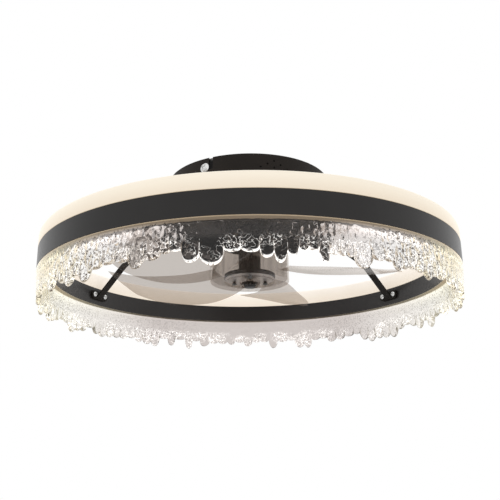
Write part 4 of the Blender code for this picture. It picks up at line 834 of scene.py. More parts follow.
# All but the last two are named after the solids' slots
FINISHES = {
    "black_steel": paint("black_steel_paint", BLACK_STEEL, 0.5, 900, 0.15),
    # The channel's inner wall takes a painted glow, 2.3 times paler
    "black_aluminium": paint("black_aluminium_coat", BLACK_ALUMINIUM, 0.42, 1100, 0.1, 0.4, 2.3),
    "bright_steel": plate("bright_steel_plate", BRIGHT_STEEL, 0.16, 900),
    "zinc_steel": plate("zinc_steel_plate", ZINC_STEEL, 0.36, 500),
    "white_plastic": moulded("white_plastic_case", WHITE_PLASTIC),
    "circuit_board": board("circuit_board_mask"),
    "led_board": light_board("led_board_mask"),
    "copper_winding": winding("copper_winding_wire"),
    "magnet": sintered("magnet_ground"),
    "opal_diffuser": opal("opal_diffuser_hood"),
    "clear_acrylic": ice("clear_acrylic_ice"),
    "smoky_plastic": smoky("smoky_plastic_moulding"),
    "lead_sleeve": woven("lead_sleeve_weave"),
    "faced_flange": faced("faced_flange_steel"),
    "grained_sleeve": grained("grained_sleeve_steel"),
}


# Pieces


def around_from(angle, count):
    """Angles at even steps round the axis, the first of them given."""
    return [angle + 360 / count * n for n in range(count)]


def arm_angles():
    """The middle line of each arm."""
    return around_from(ARM_ANGLE, ARM_COUNT)


def tab_sides():
    """How far each of a tab's two screws stands beside the arm's middle line."""
    return (-TAB_SCREW_PITCH / 2, TAB_SCREW_PITCH / 2)


def cross_screw(name, head, head_height, shank, length, wide=False, columns=40):
    """A pan head with a cross recess above z = 0, a washer of its own if wide, and a plain shank.

    The head's height falls as h (1 - 0.35 s^4) to a rounded edge, with s the share of its radius.
    The recess takes away a depth that is full where the place lies within a slot's half width
    and half length of either arm of the cross, and fades over a narrow slope.
    """
    share = np.array([0.04, 0.12, 0.2, 0.28, 0.36, 0.44, 0.52, 0.6, 0.7, 0.82, 0.92, 0.98, 1.0])
    angle = np.linspace(0, 360, columns, endpoint=False)
    top = head_height * (1 - 0.35 * share**4 - 0.25 * smooth(0.86, 1.0, share))
    grid = polar(head * share[None], angle[:, None], top[None])
    half_slot, half_span, slope = head * 0.15, head * 0.6, head * 0.07
    x, y = np.abs(grid[..., 0]), np.abs(grid[..., 1])
    in_slot = 1 - smooth(half_slot, half_slot + slope, np.minimum(x, y))
    in_span = 1 - smooth(half_span, half_span + slope, np.maximum(x, y))
    depth = head_height * 0.6
    grid[..., 2] -= depth * in_slot * in_span
    washer = head * SCREW_WASHER_SHARE if wide else head
    under = np.array([
        (washer - THIN_EDGE, THIN_EDGE * 2), (washer, THIN_EDGE), (washer - THIN_EDGE / 2, 0),
        (shank, 0), (shank, SOFT_EDGE - length), (shank - SOFT_EDGE, -length),
    ])
    whole = np.concatenate([grid, turned_grid(under, columns)], axis=1)
    poles = [(0, 0, head_height - depth), (0, 0, -length)]
    return closed_mesh(name, whole, poles, crease=32)


def place_screws():
    """Every screw on its solid's own place, each with a turn of its own."""
    kinds = {
        "canopy_screw": (CANOPY_SCREW_HEAD, CANOPY_SCREW_HEAD_HEIGHT, CANOPY_SCREW_SHANK,
                         CANOPY_SCREW_LENGTH, True),
        "arm_screw": (SCREW_HEAD, SCREW_HEAD_HEIGHT, SCREW_SHANK, SCREW_LENGTH),
        "tab_screw": (SCREW_HEAD, SCREW_HEAD_HEIGHT, SCREW_SHANK, SCREW_LENGTH),
        "hub_screw": (SCREW_HEAD, SCREW_HEAD_HEIGHT, SCREW_SHANK, HUB_SCREW_LENGTH),
        "motor_screw": (SCREW_HEAD, SCREW_HEAD_HEIGHT, SCREW_SHANK,
                        CANOPY_WALL + SEAT_GAP + MOTOR_TOP),
    }
    # Each row is the kind, its number, the place under the head and the way that the head faces
    rows = []
    for number, angle in enumerate(around_from(BRACKET_ANGLE, CANOPY_SCREW_COUNT)):
        place = polar(CANOPY_RADIUS + SEAT_GAP, angle, -CANOPY_SCREW_DROP)
        rows.append(("canopy_screw", number, place, polar(1, angle)))
    under_arm = FLOOR_BOTTOM - SEAT_GAP - ARM_THICKNESS - SEAT_GAP
    behind_tab = TAB_FACE - ARM_THICKNESS - SEAT_GAP
    for index, angle in enumerate(arm_angles()):
        for number, radius in enumerate(ARM_SCREW_RADII):
            place = polar(radius, angle, under_arm)
            rows.append(("arm_screw", index * 2 + number, place, (0, 0, -1)))
        for number, side in enumerate(tab_sides()):
            place = beside(behind_tab, side, angle, TAB_MIDDLE)
            rows.append(("tab_screw", index * 2 + number, place, -polar(1, angle)))
    hub_angles = around_from(HUB_SCREW_ANGLE, HUB_SCREW_COUNT)
    motor_angles = around_from(MOTOR_SCREW_ANGLE, MOTOR_SCREW_COUNT)
    for number, (hub_angle, motor_angle) in enumerate(zip(hub_angles, motor_angles)):
        place = polar(HUB_SCREW_CIRCLE, hub_angle, HUB_BOTTOM + HUB_RECESS_DEPTH - SEAT_GAP)
        rows.append(("hub_screw", number, place, (0, 0, -1)))
        place = polar(MOTOR_SCREW_CIRCLE, motor_angle, FLOOR_TOP + SEAT_GAP)
        rows.append(("motor_screw", number, place, (0, 0, 1)))
    chance = random.Random(SCREW_SEED)
    for kind, number, place, way in rows:
        name = f"{kind}_{number + 1}"
        mesh = cross_screw(name, *kinds[kind])
        spin = Matrix.Rotation(chance.uniform(0, math.pi / 2), 4, "Z")
        moved(mesh, facing(way, place) @ spin)
        body = "rotor" if kind == "hub_screw" else "fixture"
        slot = "zinc_steel" if kind in ("hub_screw", "motor_screw") else "bright_steel"
        put(f"fine_{name}", mesh, body, slot, name)


def canopy_cuts():
    """The bayonet slots, the vents and the floor's holes, as one helper of closed shells."""
    reach = CANOPY_RADIUS - CANOPY_WALL - OVERRUN
    through = CANOPY_WALL + OVERRUN * 2
    half, low = BAYONET_WIDTH / 2, -CANOPY_SCREW_DROP - BAYONET_WIDTH / 2
    slot = rounded([
        (-half, low, SLOT_END_ROUNDING), (BAYONET_TURN + half, low, SLOT_TURN_ROUNDING),
        (BAYONET_TURN + half, OVERRUN, SLOT_MOUTH_ROUNDING),
        (BAYONET_TURN - half, OVERRUN, SLOT_MOUTH_ROUNDING),
        (BAYONET_TURN - half, low + BAYONET_WIDTH, SLOT_STEP_ROUNDING),
        (-half, low + BAYONET_WIDTH, SLOT_END_ROUNDING),
    ])
    helpers = []
    for angle in around_from(BRACKET_ANGLE, CANOPY_SCREW_COUNT):
        outward, across, upward = polar(1, angle), polar(1, angle + 90), np.array([0, 0, 1])
        layers = [slot[:, :1] * across + slot[:, 1:] * upward + outward * depth
                  for depth in (reach, reach + through)]
        ring = np.arange(len(slot))
        after = np.roll(ring, -1)
        sides = np.stack([ring, after, after + len(slot), ring + len(slot)], axis=-1)
        ends = [ring[None, :], ring[None, ::-1] + len(slot)]
        helpers.append(mesh_from("slot", np.vstack(layers), [sides[:, ::-1], *ends]))
    rows, under = [], FLOOR_BOTTOM - OVERRUN
    for row in range(VENT_ROWS):
        for step in np.arange(VENT_ROWS - row) - (VENT_ROWS - row - 1) / 2:
            angle = VENT_CENTRE_ANGLE + VENT_STEP_ANGLE * step
            place = polar(reach, angle, VENT_ROW_PITCH * row - VENT_LOWEST)
            rows.append((VENT_RADIUS, facing(polar(1, angle), place)))
    floor_holes = [
        (LEAD_HOLE, polar(MOTOR_LEAD_CIRCLE, MOTOR_LEAD_ANGLE, under)),
        (LIGHT_LEAD_HOLE, beside(max(ARM_SCREW_RADII), LIGHT_LEAD_SIDE, arm_angles()[-1], under)),
    ]
    floor_holes += [(SCREW_HOLE, polar(MOTOR_SCREW_CIRCLE, angle, under))
                    for angle in around_from(MOTOR_SCREW_ANGLE, MOTOR_SCREW_COUNT)]
    floor_holes += [(SCREW_HOLE, polar(radius, angle, under))
                    for angle in arm_angles() for radius in ARM_SCREW_RADII]
    rows += [(radius, Matrix.Translation(place)) for radius, place in floor_holes]
    return joined("canopy_cuts", [*helpers, holes(rows, through)])


def make_canopy():
    """A pressed cup: flat floor, a rounded lower edge and a plain wall up to the ceiling."""
    inner, edge = CANOPY_RADIUS - CANOPY_WALL, THIN_EDGE
    cup = turned_solid("canopy", [
        (0, FLOOR_BOTTOM, edge), (CANOPY_RADIUS, FLOOR_BOTTOM, CANOPY_ROUNDING),
        (CANOPY_RADIUS, 0, edge), (inner, 0, edge), (inner, FLOOR_TOP, CANOPY_ROUNDING),
        (0, FLOOR_TOP, edge),
    ], 240)
    put("fine_canopy", carved(cup, canopy_cuts()), "fixture", "black_steel", "canopy")


def make_shade_liner():
    """A thin dark sleeve of cloth just inside the canopy's wall, behind vents and slots: painted
    shade put in as a sheet, so that they show dark.
    """
    outer = CANOPY_RADIUS - CANOPY_WALL - LINER_GAP
    inner = outer - LINER_THICKNESS
    mesh = turned("canopy_shade_liner", [
        (outer, LINER_BOTTOM, 0), (outer, LINER_TOP, 0),
        (inner, LINER_TOP, 0), (inner, LINER_BOTTOM, 0),
    ], 180)
    start = inner - OVERRUN
    rows = [(LINER_HOLE, facing(polar(1, angle), polar(start, angle, -CANOPY_SCREW_DROP)))
            for angle in around_from(BRACKET_ANGLE, CANOPY_SCREW_COUNT)]
    mesh = carved(mesh, holes(rows, LINER_THICKNESS + OVERRUN * 2))
    # A dark sheet of painted shade behind the canopy's vents and slots
    put("canopy_shade_liner", mesh, "fixture", "lead_sleeve")


def make_motor():
    """The can with its soft lower edge, and the end cap inside it."""
    edge, inner = SOFT_EDGE, MOTOR_RADIUS - MOTOR_WALL
    seat = BEARING_RADIUS + SEAT_GAP
    boss, boss_low = seat + BEARING_BOSS_WALL, MOTOR_CEILING - BEARING_HEIGHT
    can = turned_solid("motor_housing", [
        (0, MOTOR_UPPER, edge), (MOTOR_RADIUS, MOTOR_UPPER, MOTOR_TOP_ROUNDING),
        (MOTOR_RADIUS, MOTOR_LOWER, MOTOR_FOOT_ROUNDING), (inner, MOTOR_LOWER, edge),
        (inner, MOTOR_CEILING, edge), (boss, MOTOR_CEILING, edge), (boss, boss_low, edge),
        (seat, boss_low, edge), (seat, MOTOR_CEILING, edge), (0, MOTOR_CEILING, edge),
    ], 128)
    put("fine_motor_housing", can, "fixture", "black_steel", "motor_housing")
    cap_top = MOTOR_LOWER + MOTOR_TOP
    cap_boss, cap_hole = cap_top + BEARING_HEIGHT, SHAFT_RADIUS + RUNNING_GAP
    cap = turned("motor_end_cap", [
        (cap_hole, MOTOR_LOWER, edge), (inner - SEAT_GAP, MOTOR_LOWER, edge),
        (inner - SEAT_GAP, cap_top, edge), (boss, cap_top, edge), (boss, cap_boss, edge),
        (seat, cap_boss, edge), (seat, cap_top, edge), (cap_hole, cap_top, edge),
    ], 128)
    put("fine_motor_end_cap", cap, "fixture", "black_steel", "motor_end_cap")


def make_hub_drive():
    """The turned sleeve and flange that carry the impeller."""
    edge, top, low = SOFT_EDGE, MOTOR_LOWER - RUNNING_GAP, FLANGE_TOP + SEAT_GAP
    sleeve = turned("shaft_sleeve", [
        (SHAFT_HOLE, low, edge), (SLEEVE_RADIUS, low, edge),
        (SLEEVE_RADIUS, top, SLEEVE_ROUNDING), (SHAFT_HOLE, top, edge),
    ], 96)
    put("fine_shaft_sleeve", sleeve, "rotor", "black_steel", "shaft_sleeve",
        finish="grained_sleeve")
    flange = turned("hub_flange", [
        (SHAFT_HOLE, FLANGE_BOTTOM, edge), (FLANGE_RADIUS, FLANGE_BOTTOM, FLANGE_ROUNDING),
        (FLANGE_RADIUS, FLANGE_TOP, FLANGE_ROUNDING), (SHAFT_HOLE, FLANGE_TOP, edge),
    ], 128)
    put("fine_hub_flange", flange, "rotor", "black_steel", "hub_flange", finish="faced_flange")


def make_nut():
    """A black six-sided cap nut on a wide washer of its own, its corners and its cap rounded.

    A rounded hexagon is carried down through steps of height, and each step has its share of
    the full width.
    """
    corners = polar(NUT_RADIUS, np.array(around_from(0, NUT_SIDES)))[:, :2]
    outline = rounded(np.column_stack([corners, np.full(NUT_SIDES, NUT_CORNER_ROUNDING)]), 3)
    full = NUT_HEIGHT + NUT_CAP
    heights = np.array([0, NUT_EDGE, NUT_HEIGHT - THIN_EDGE, full - NUT_SHOULDER, full - NUT_EDGE,
                        full])
    width_shares = np.array([0.98, 1, 1, 0.95, 0.86, 0.76])
    flat = outline[:, None] * width_shares[None, :, None]
    level = np.broadcast_to(NUT_TOP - heights[None, :, None], flat.shape[:2] + (1,))
    grid = np.concatenate([flat, level], axis=-1)
    nut = closed_mesh("hub_nut", grid, [(0, 0, NUT_TOP), (0, 0, NUT_TOP - full)])
    washer_top, washer_low = NUT_TOP - SEAT_GAP / 2, NUT_TOP - NUT_WASHER
    washer = turned_solid("nut_washer", [
        (0, washer_low, 0), (NUT_WASHER_RADIUS, washer_low, THIN_EDGE),
        (NUT_WASHER_RADIUS, washer_top, THIN_EDGE), (0, washer_top, 0),
    ], 64)
    nut = carved(nut, washer, "UNION")
    bore = cutter(SHAFT_HOLE, NUT_TOP - NUT_HEIGHT - SHAFT_PROUD - SEAT_GAP, NUT_TOP + OVERRUN, 32)
    put("fine_hub_nut", carved(nut, bore), "rotor", "zinc_steel", "hub_nut",
        finish="grained_sleeve")


def blade_mesh(turn):
    """One swept, twisted and cambered blade.

    At each station of the span a closed section runs out along the blade's upper side and back
    along its lower side: the angle and height go straight from the trailing edge to the leading
    edge, plus a camber of 4 c (1 - c). The thickness is T sqrt(1 - |2 c - 1|^7) across the
    chord, and closes as a quarter circle at the tip's rounding. The stations lie closer towards
    the tip, at 1 - (1 - t)^1.5.
    """
    root = HUB_RADIUS - BLADE_ROOT_SINK
    stations, half_way = 44, 18
    spans = 1 - (1 - np.linspace(0, 1, stations)) ** 1.5
    close = np.cos(np.linspace(0, np.pi / 2, 5))[1:]
    rim = BLADE_TIP_ROUNDING / (BLADE_TIP_RADIUS - root)
    spans = np.concatenate([spans[spans < 1 - rim * 1.4], 1 - rim * (1 - np.sqrt(1 - close**2))])
    edge_share = np.concatenate([np.ones(len(spans) - 4), close])
    radii = root + (BLADE_TIP_RADIUS - root) * spans
    edges = []
    for rows in (TRAILING_EDGE_SHARES, LEADING_EDGE_SHARES):
        angle = smooth_through([(row[0], row[1]) for row in rows], spans)
        height = smooth_through([(row[0], row[2]) for row in rows], spans)
        edges.append((angle, BLADE_MID_HEIGHT + BLADE_PITCH_HEIGHT * height))
    (back_angle, back_height), (front_angle, front_height) = edges
    turns = np.linspace(0, 2 * np.pi, half_way * 2, endpoint=False)
    chord = (1 - np.cos(turns)) / 2
    side = np.sign(np.sin(turns).round(9))
    thick = side * np.sqrt(np.clip(1 - np.abs(2 * chord - 1) ** 7, 0, 1)) / 2 * BLADE_THICKNESS
    angle = blend(back_angle[:, None], front_angle[:, None], chord[None])
    height = blend(back_height[:, None], front_height[:, None], chord[None])
    height = height + BLADE_CAMBER * 4 * chord * (1 - chord) + thick * edge_share[:, None]
    grid = polar(radii[:, None], angle + turn, height).transpose(1, 0, 2)
    poles = [grid[:, 0].mean(axis=0), grid[:, -1].mean(axis=0)]
    return closed_mesh("blade", grid, poles)


def make_impeller():
    """The cup with its recess and collar, and five blades united with its wall."""
    edge, rim = SOFT_EDGE, HUB_RIM_ROUNDING
    inner, recess_top = HUB_RADIUS - HUB_WALL, HUB_BOTTOM + HUB_RECESS_DEPTH
    collar_low, collar_inner = HUB_BOTTOM - COLLAR_DEPTH, COLLAR_RADIUS - COLLAR_WALL
    cup = turned("impeller", [
        (HUB_RADIUS, HUB_TOP, rim), (HUB_RADIUS, HUB_BOTTOM, HUB_ROUNDING),
        (HUB_RECESS_RADIUS, HUB_BOTTOM, rim), (HUB_RECESS_RADIUS, recess_top, rim),
        (COLLAR_RADIUS, recess_top, COLLAR_ROOT_ROUNDING),
        (COLLAR_RADIUS, collar_low, COLLAR_ROUNDING),
        (collar_inner, collar_low, edge), (collar_inner, HUB_BOTTOM, edge),
        (SHAFT_HOLE, HUB_BOTTOM, edge), (SHAFT_HOLE, HUB_INNER_FLOOR, edge),
        (inner, HUB_INNER_FLOOR, HUB_INNER_ROUNDING), (inner, HUB_TOP, rim),
    ], 160)
    blades = [blade_mesh(turn) for turn in around_from(BLADE_ANGLE, BLADE_COUNT)]
    whole = carved(cup, joined("blades", blades), "UNION")
    start = HUB_BOTTOM - OVERRUN
    rows = [(SCREW_HOLE, Matrix.Translation(polar(HUB_SCREW_CIRCLE, angle, start)))
            for angle in around_from(HUB_SCREW_ANGLE, HUB_SCREW_COUNT)]
    whole = carved(whole, holes(rows, HUB_FLOOR + OVERRUN * 2), crease=42)
    put("fine_impeller", whole, "rotor", "smoky_plastic", "impeller")


def arm_mesh(name, angle):
    """A rounded strip swept along the arm's bent middle line, with its tab.

    The middle line is a polyline in (radius, height) whose bends are rounded; at each of its
    points the section, a rounded rectangle, stands square to the line's direction.
    """
    high = FLOOR_BOTTOM - SEAT_GAP - ARM_THICKNESS / 2
    tab = TAB_FACE - ARM_THICKNESS / 2
    corners = [
        (ARM_INNER_END, high, 0), (ARM_FLAT_END, high, ARM_FLAT_BEND),
        (ARM_KNEE_RADIUS, high - ARM_KNEE_DROP, ARM_KNEE_BEND),
        (tab, TAB_MIDDLE - ARM_FOOT_DROP, ARM_FOOT_BEND),
        (tab, TAB_MIDDLE - ARM_FOOT_DROP - ARM_THICKNESS, 0),
    ]
    line = rounded(corners, 8, closed=False)
    line = line[np.concatenate([[True], np.linalg.norm(np.diff(line, axis=0), axis=1) > 1e-6])]
    way = np.gradient(line, axis=0)
    way /= np.linalg.norm(way, axis=1)[:, None]
    normal = np.stack([-way[:, 1], way[:, 0]], axis=1)
    half, thin = ARM_WIDTH / 2, ARM_THICKNESS / 2
    section = rounded([(x, y, SOFT_EDGE) for x, y in ((-half, -thin), (half, -thin),
                                                      (half, thin), (-half, thin))], 3)
    radius = line[None, :, 0] + normal[None, :, 0] * section[:, None, 1]
    height = line[None, :, 1] + normal[None, :, 1] * section[:, None, 1]
    side = np.broadcast_to(section[:, None, 0], radius.shape)
    grid = np.stack([radius, side, height], axis=-1)
    strip = closed_mesh("strip", grid, [grid[:, 0].mean(0), grid[:, -1].mean(0)])
    whole = carved(strip, tab_mesh(), "UNION")
    tab_back, under = TAB_FACE - ARM_THICKNESS - OVERRUN, high - thin - OVERRUN
    rows = [(SCREW_HOLE, facing((1, 0, 0), (tab_back, place, TAB_MIDDLE))) for place in tab_sides()]
    rows += [(SCREW_HOLE, Matrix.Translation((place, 0, under))) for place in ARM_SCREW_RADII]
    whole = carved(whole, holes(rows, ARM_THICKNESS + OVERRUN * 2))
    whole.name = name
    return moved(whole, Matrix.Rotation(math.radians(angle), 4, "Z"))


def tab_mesh():
    """A plate with fully round ends: half circles of radius h / 2 about both screws, with its
    edges rounded over, stood square to the radius."""
    steps = 17
    turns = np.radians(np.concatenate([np.linspace(-90, 90, steps), np.linspace(90, 270, steps)]))
    centre = np.repeat([TAB_SCREW_PITCH / 2, -TAB_SCREW_PITCH / 2], steps)
    edge, thin = SOFT_EDGE, ARM_THICKNESS / 2
    inset = edge * np.array([1, 0.3, 0, 0, 0.3, 1])
    depth = np.array([-thin, -thin + edge * 0.3, -thin + edge,
                      thin - edge, thin - edge * 0.3, thin])
    reach = TAB_HEIGHT / 2 - inset
    across = centre[:, None] + reach[None] * np.cos(turns)[:, None]
    height = reach[None] * np.sin(turns)[:, None] + TAB_MIDDLE
    radius = np.broadcast_to(TAB_FACE - thin + depth[None], across.shape)
    grid = np.stack([radius, across, height], axis=-1)
    poles = [(TAB_FACE - ARM_THICKNESS, 0, TAB_MIDDLE), (TAB_FACE, 0, TAB_MIDDLE)]
    return closed_mesh("tab", grid, poles)


def make_arms():
    """The three arms, each with its tab."""
    for index, angle in enumerate(arm_angles()):
        name = f"arm_{index + 1}"
        put(f"fine_{name}", arm_mesh(name, angle), "fixture", "black_steel", name)


def light_lead_entry_side():
    """How far beside the last arm's middle line the light's lead enters the ring."""
    return TAB_HALF + LIGHT_LEAD_HOLE + RING_WALL


def make_channel():
    """The H section, with soft edges on both bands, drilled for the tab screws and the lead."""
    outer, inner = RING_RADIUS - RING_WALL, RING_INNER + RING_WALL
    below, edge = CHANNEL_FLOOR - RING_WALL, CHANNEL_EDGE
    mesh = turned("ring_channel", [
        (RING_RADIUS, RING_TOP, edge), (RING_RADIUS, RING_BOTTOM, edge), (outer, RING_BOTTOM, edge),
        (outer, below, edge), (inner, below, edge), (inner, RING_INNER_BOTTOM, edge),
        (RING_INNER, RING_INNER_BOTTOM, edge), (RING_INNER, RING_INNER_TOP, edge),
        (inner, RING_INNER_TOP, edge), (inner, CHANNEL_FLOOR, edge), (outer, CHANNEL_FLOOR, edge),
        (outer, RING_TOP, edge),
    ], 360)
    sides = [(SCREW_HOLE, side, angle) for angle in arm_angles() for side in tab_sides()]
    sides.append((LIGHT_LEAD_HOLE, light_lead_entry_side(), arm_angles()[-1]))
    start = RING_INNER - OVERRUN
    rows = [(radius, facing(polar(1, angle), beside(start, side, angle, TAB_MIDDLE)))
            for radius, side, angle in sides]
    mesh = carved(mesh, holes(rows, RING_WALL + OVERRUN * 2))
    put("fine_ring_channel", mesh, "fixture", "black_aluminium", "ring_channel")


def make_diffuser():
    """An upside-down trough with round shoulders and a lip inside each band."""
    low, inner_low = RING_TOP + SEAT_GAP, RING_INNER_TOP + SEAT_GAP
    high, edge, lip = RING_TOP + DIFFUSER_HEIGHT, THIN_EDGE, DIFFUSER_LIP_DEPTH
    outer_lip, inner_lip = RING_RADIUS - RING_WALL - LIP_PLAY, RING_INNER + RING_WALL + LIP_PLAY
    inside, outside = inner_lip + DIFFUSER_WALL, outer_lip - DIFFUSER_WALL
    ceiling, turn = high - DIFFUSER_WALL, DIFFUSER_INNER_ROUNDING
    mesh = turned("diffuser", [
        (RING_RADIUS, low, edge), (RING_RADIUS, high, DIFFUSER_ROUNDING),
        (RING_INNER, high, DIFFUSER_ROUNDING), (RING_INNER, inner_low, edge),
        (inner_lip, inner_low, edge), (inner_lip, inner_low - lip, edge),
        (inside, inner_low - lip, edge), (inside, ceiling, turn), (outside, ceiling, turn),
        (outside, low - lip, edge), (outer_lip, low - lip, edge), (outer_lip, low, edge),
    ], 360, 7)
    put("fine_diffuser", mesh, "fixture", "opal_diffuser", "diffuser")


def icicles():
    """Every icicle's angle, half width and share of the drop, the front ones listed and the others
    drawn at nearly even steps over the rest of the ring."""
    rows = list(FRONT_ICICLE_SHARES)
    first, last = rows[0][0] + 360, rows[-1][0]
    chance = random.Random(ICICLE_SEED)
    shortest, longest = ICICLE_LONG_SHARES
    count = round((first - last) / ICICLE_STEP_ANGLE)
    step = (first - last) / count
    for index in range(1, count):
        angle = last + step * index + chance.uniform(-0.5, 0.5) * ICICLE_STEP_SPREAD
        half = step * chance.uniform(0.4, 0.62)
        share = shortest + (longest - shortest) * chance.random() ** 1.3
        rows.append((angle, half, share))
    rows.sort()
    return np.array(rows)


def lumps(angle, depth, around, down, seed):
    """Smooth lumps from -1 to 1: random heights on a grid of cells round the ring and down it,
    read between their four neighbours with t * t * (3 - 2 t) along each way."""
    heights = np.random.default_rng(seed).uniform(-1, 1, (around, down + 2))
    across = angle / 360 % 1 * around
    fall = np.clip(depth, 0, 1) * down
    i, j = np.floor(across).astype(int), np.floor(fall).astype(int)
    s, t = across - i, fall - j
    s, t = s * s * (3 - 2 * s), t * t * (3 - 2 * t)
    i, after, below = i % around, (i + 1) % around, j + 1
    upper = blend(heights[i, j], heights[after, j], s)
    return blend(upper, blend(heights[i, below], heights[after, below], s), t)


def sparse(height):
    """Few strong lumps among many faint ones: the height's size to the power of 1.8."""
    return np.sign(height) * np.abs(height) ** 1.8


def icicle_columns():
    """Each column's angle at the collar and at the rim, the share of the drop that it reaches,
    and u, its place across its icicle from -1 to 1, all as one long column of rows.

    Each icicle owns a cell of the ring between two borders. A column starts at an even step of
    the cell, and ends on a rim traced by |x|^n + |y|^n = 1, so the columns bunch at the icicle's
    steep sides and meet its neighbours at the valleys.
    """
    angle, half, share = icicles().T
    next_angle = np.append(angle[1:], angle[0] + 360)
    next_half, next_share = np.roll(half, -1), np.roll(share, -1)
    border = (angle + half + next_angle - next_half) / 2
    valley = ICICLE_VALLEY_SHARE + (np.minimum(share, next_share) - min(ICICLE_LONG_SHARES)) / 2
    border_before, valley_before = np.roll(border, 1), np.roll(valley, 1)
    border_before[0] -= 360
    u = np.linspace(-1, 1, ICICLE_COLUMNS, endpoint=False)[None]
    turn, power = u * np.pi / 2, 2 / ICICLE_ROUNDNESS
    trace = np.sign(u) * np.abs(np.sin(turn)) ** power
    fall = np.clip(np.cos(turn), 0, 1) ** power
    width = np.where(u < 0, (angle - border_before)[:, None], (border - angle)[:, None])
    floor_share = np.where(u < 0, valley_before[:, None], valley[:, None])
    reach_share = floor_share + (share[:, None] - floor_share) * fall
    whole = (angle[:, None] + u * width, angle[:, None] + trace * width, reach_share,
             np.broadcast_to(u, reach_share.shape))
    return [part.reshape(-1, 1) for part in whole]


def icicle_rows():
    """Down a column's outer side, round its tip and up its inner side: v from 0 to 1 and back,
    the share of the wall's thickness that is left, which falls as a quarter ellipse at the tip,
    and the side, 1 outside, 0 at the tip and -1 inside."""
    straight = np.linspace(0, ICICLE_ROUND_START, ICICLE_ROWS)
    turns = np.linspace(0, np.pi / 2, 8)[1:-1]
    rounding = ICICLE_ROUND_START + (1 - ICICLE_ROUND_START) * np.sin(turns)
    down = np.concatenate([straight, rounding])
    close = np.concatenate([np.ones(ICICLE_ROWS), np.cos(turns)])
    v = np.concatenate([down, [1.0], down[::-1]])[None]
    left_share = np.concatenate([close, [0.0], close[::-1]])[None]
    side = np.concatenate([np.ones(len(down)), [0.0], -np.ones(len(down))])[None]
    return v, left_share, side


def icicle_relief(place, depth, u, side, left_share):
    """How far lumps push the skirt's two sides in or out.

    They are calmer at the ring's front, |cos a| near 0, at its two ends and at its back, and in
    the middle of each icicle's lower half. They start below the collar and end at the tip.
    """
    level, behind = np.abs(np.cos(np.radians(place))), np.sin(np.radians(place))
    calm = blend(ICICLE_CALM_SHARE, 1, smooth(*FRONT_CALM_STEP, level))
    calm = calm * (1 - ICICLE_END_CALM * smooth(*END_CALM_STEP, level))
    calm = calm * (1 - ICICLE_BACK_CALM * smooth(*BACK_CALM_STEP, behind))
    drip = 1 - ICICLE_DRIP_CALM * smooth(*ICICLE_DRIP_STEP, depth) * (1 - u**2)
    hammered = calm * drip * smooth(*ICICLE_HAMMER_STEP, depth) * np.sqrt(left_share)
    outer, inner = (
        sum(sparse(lumps(place, depth, around, down, seed)) * weight
            for around, down, seed, weight in layers)
        for layers in (OUTER_LUMPS, INNER_LUMPS))
    return np.where(side > 0, outer, np.where(side < 0, inner, 0)) * ICICLE_LUMP * hammered


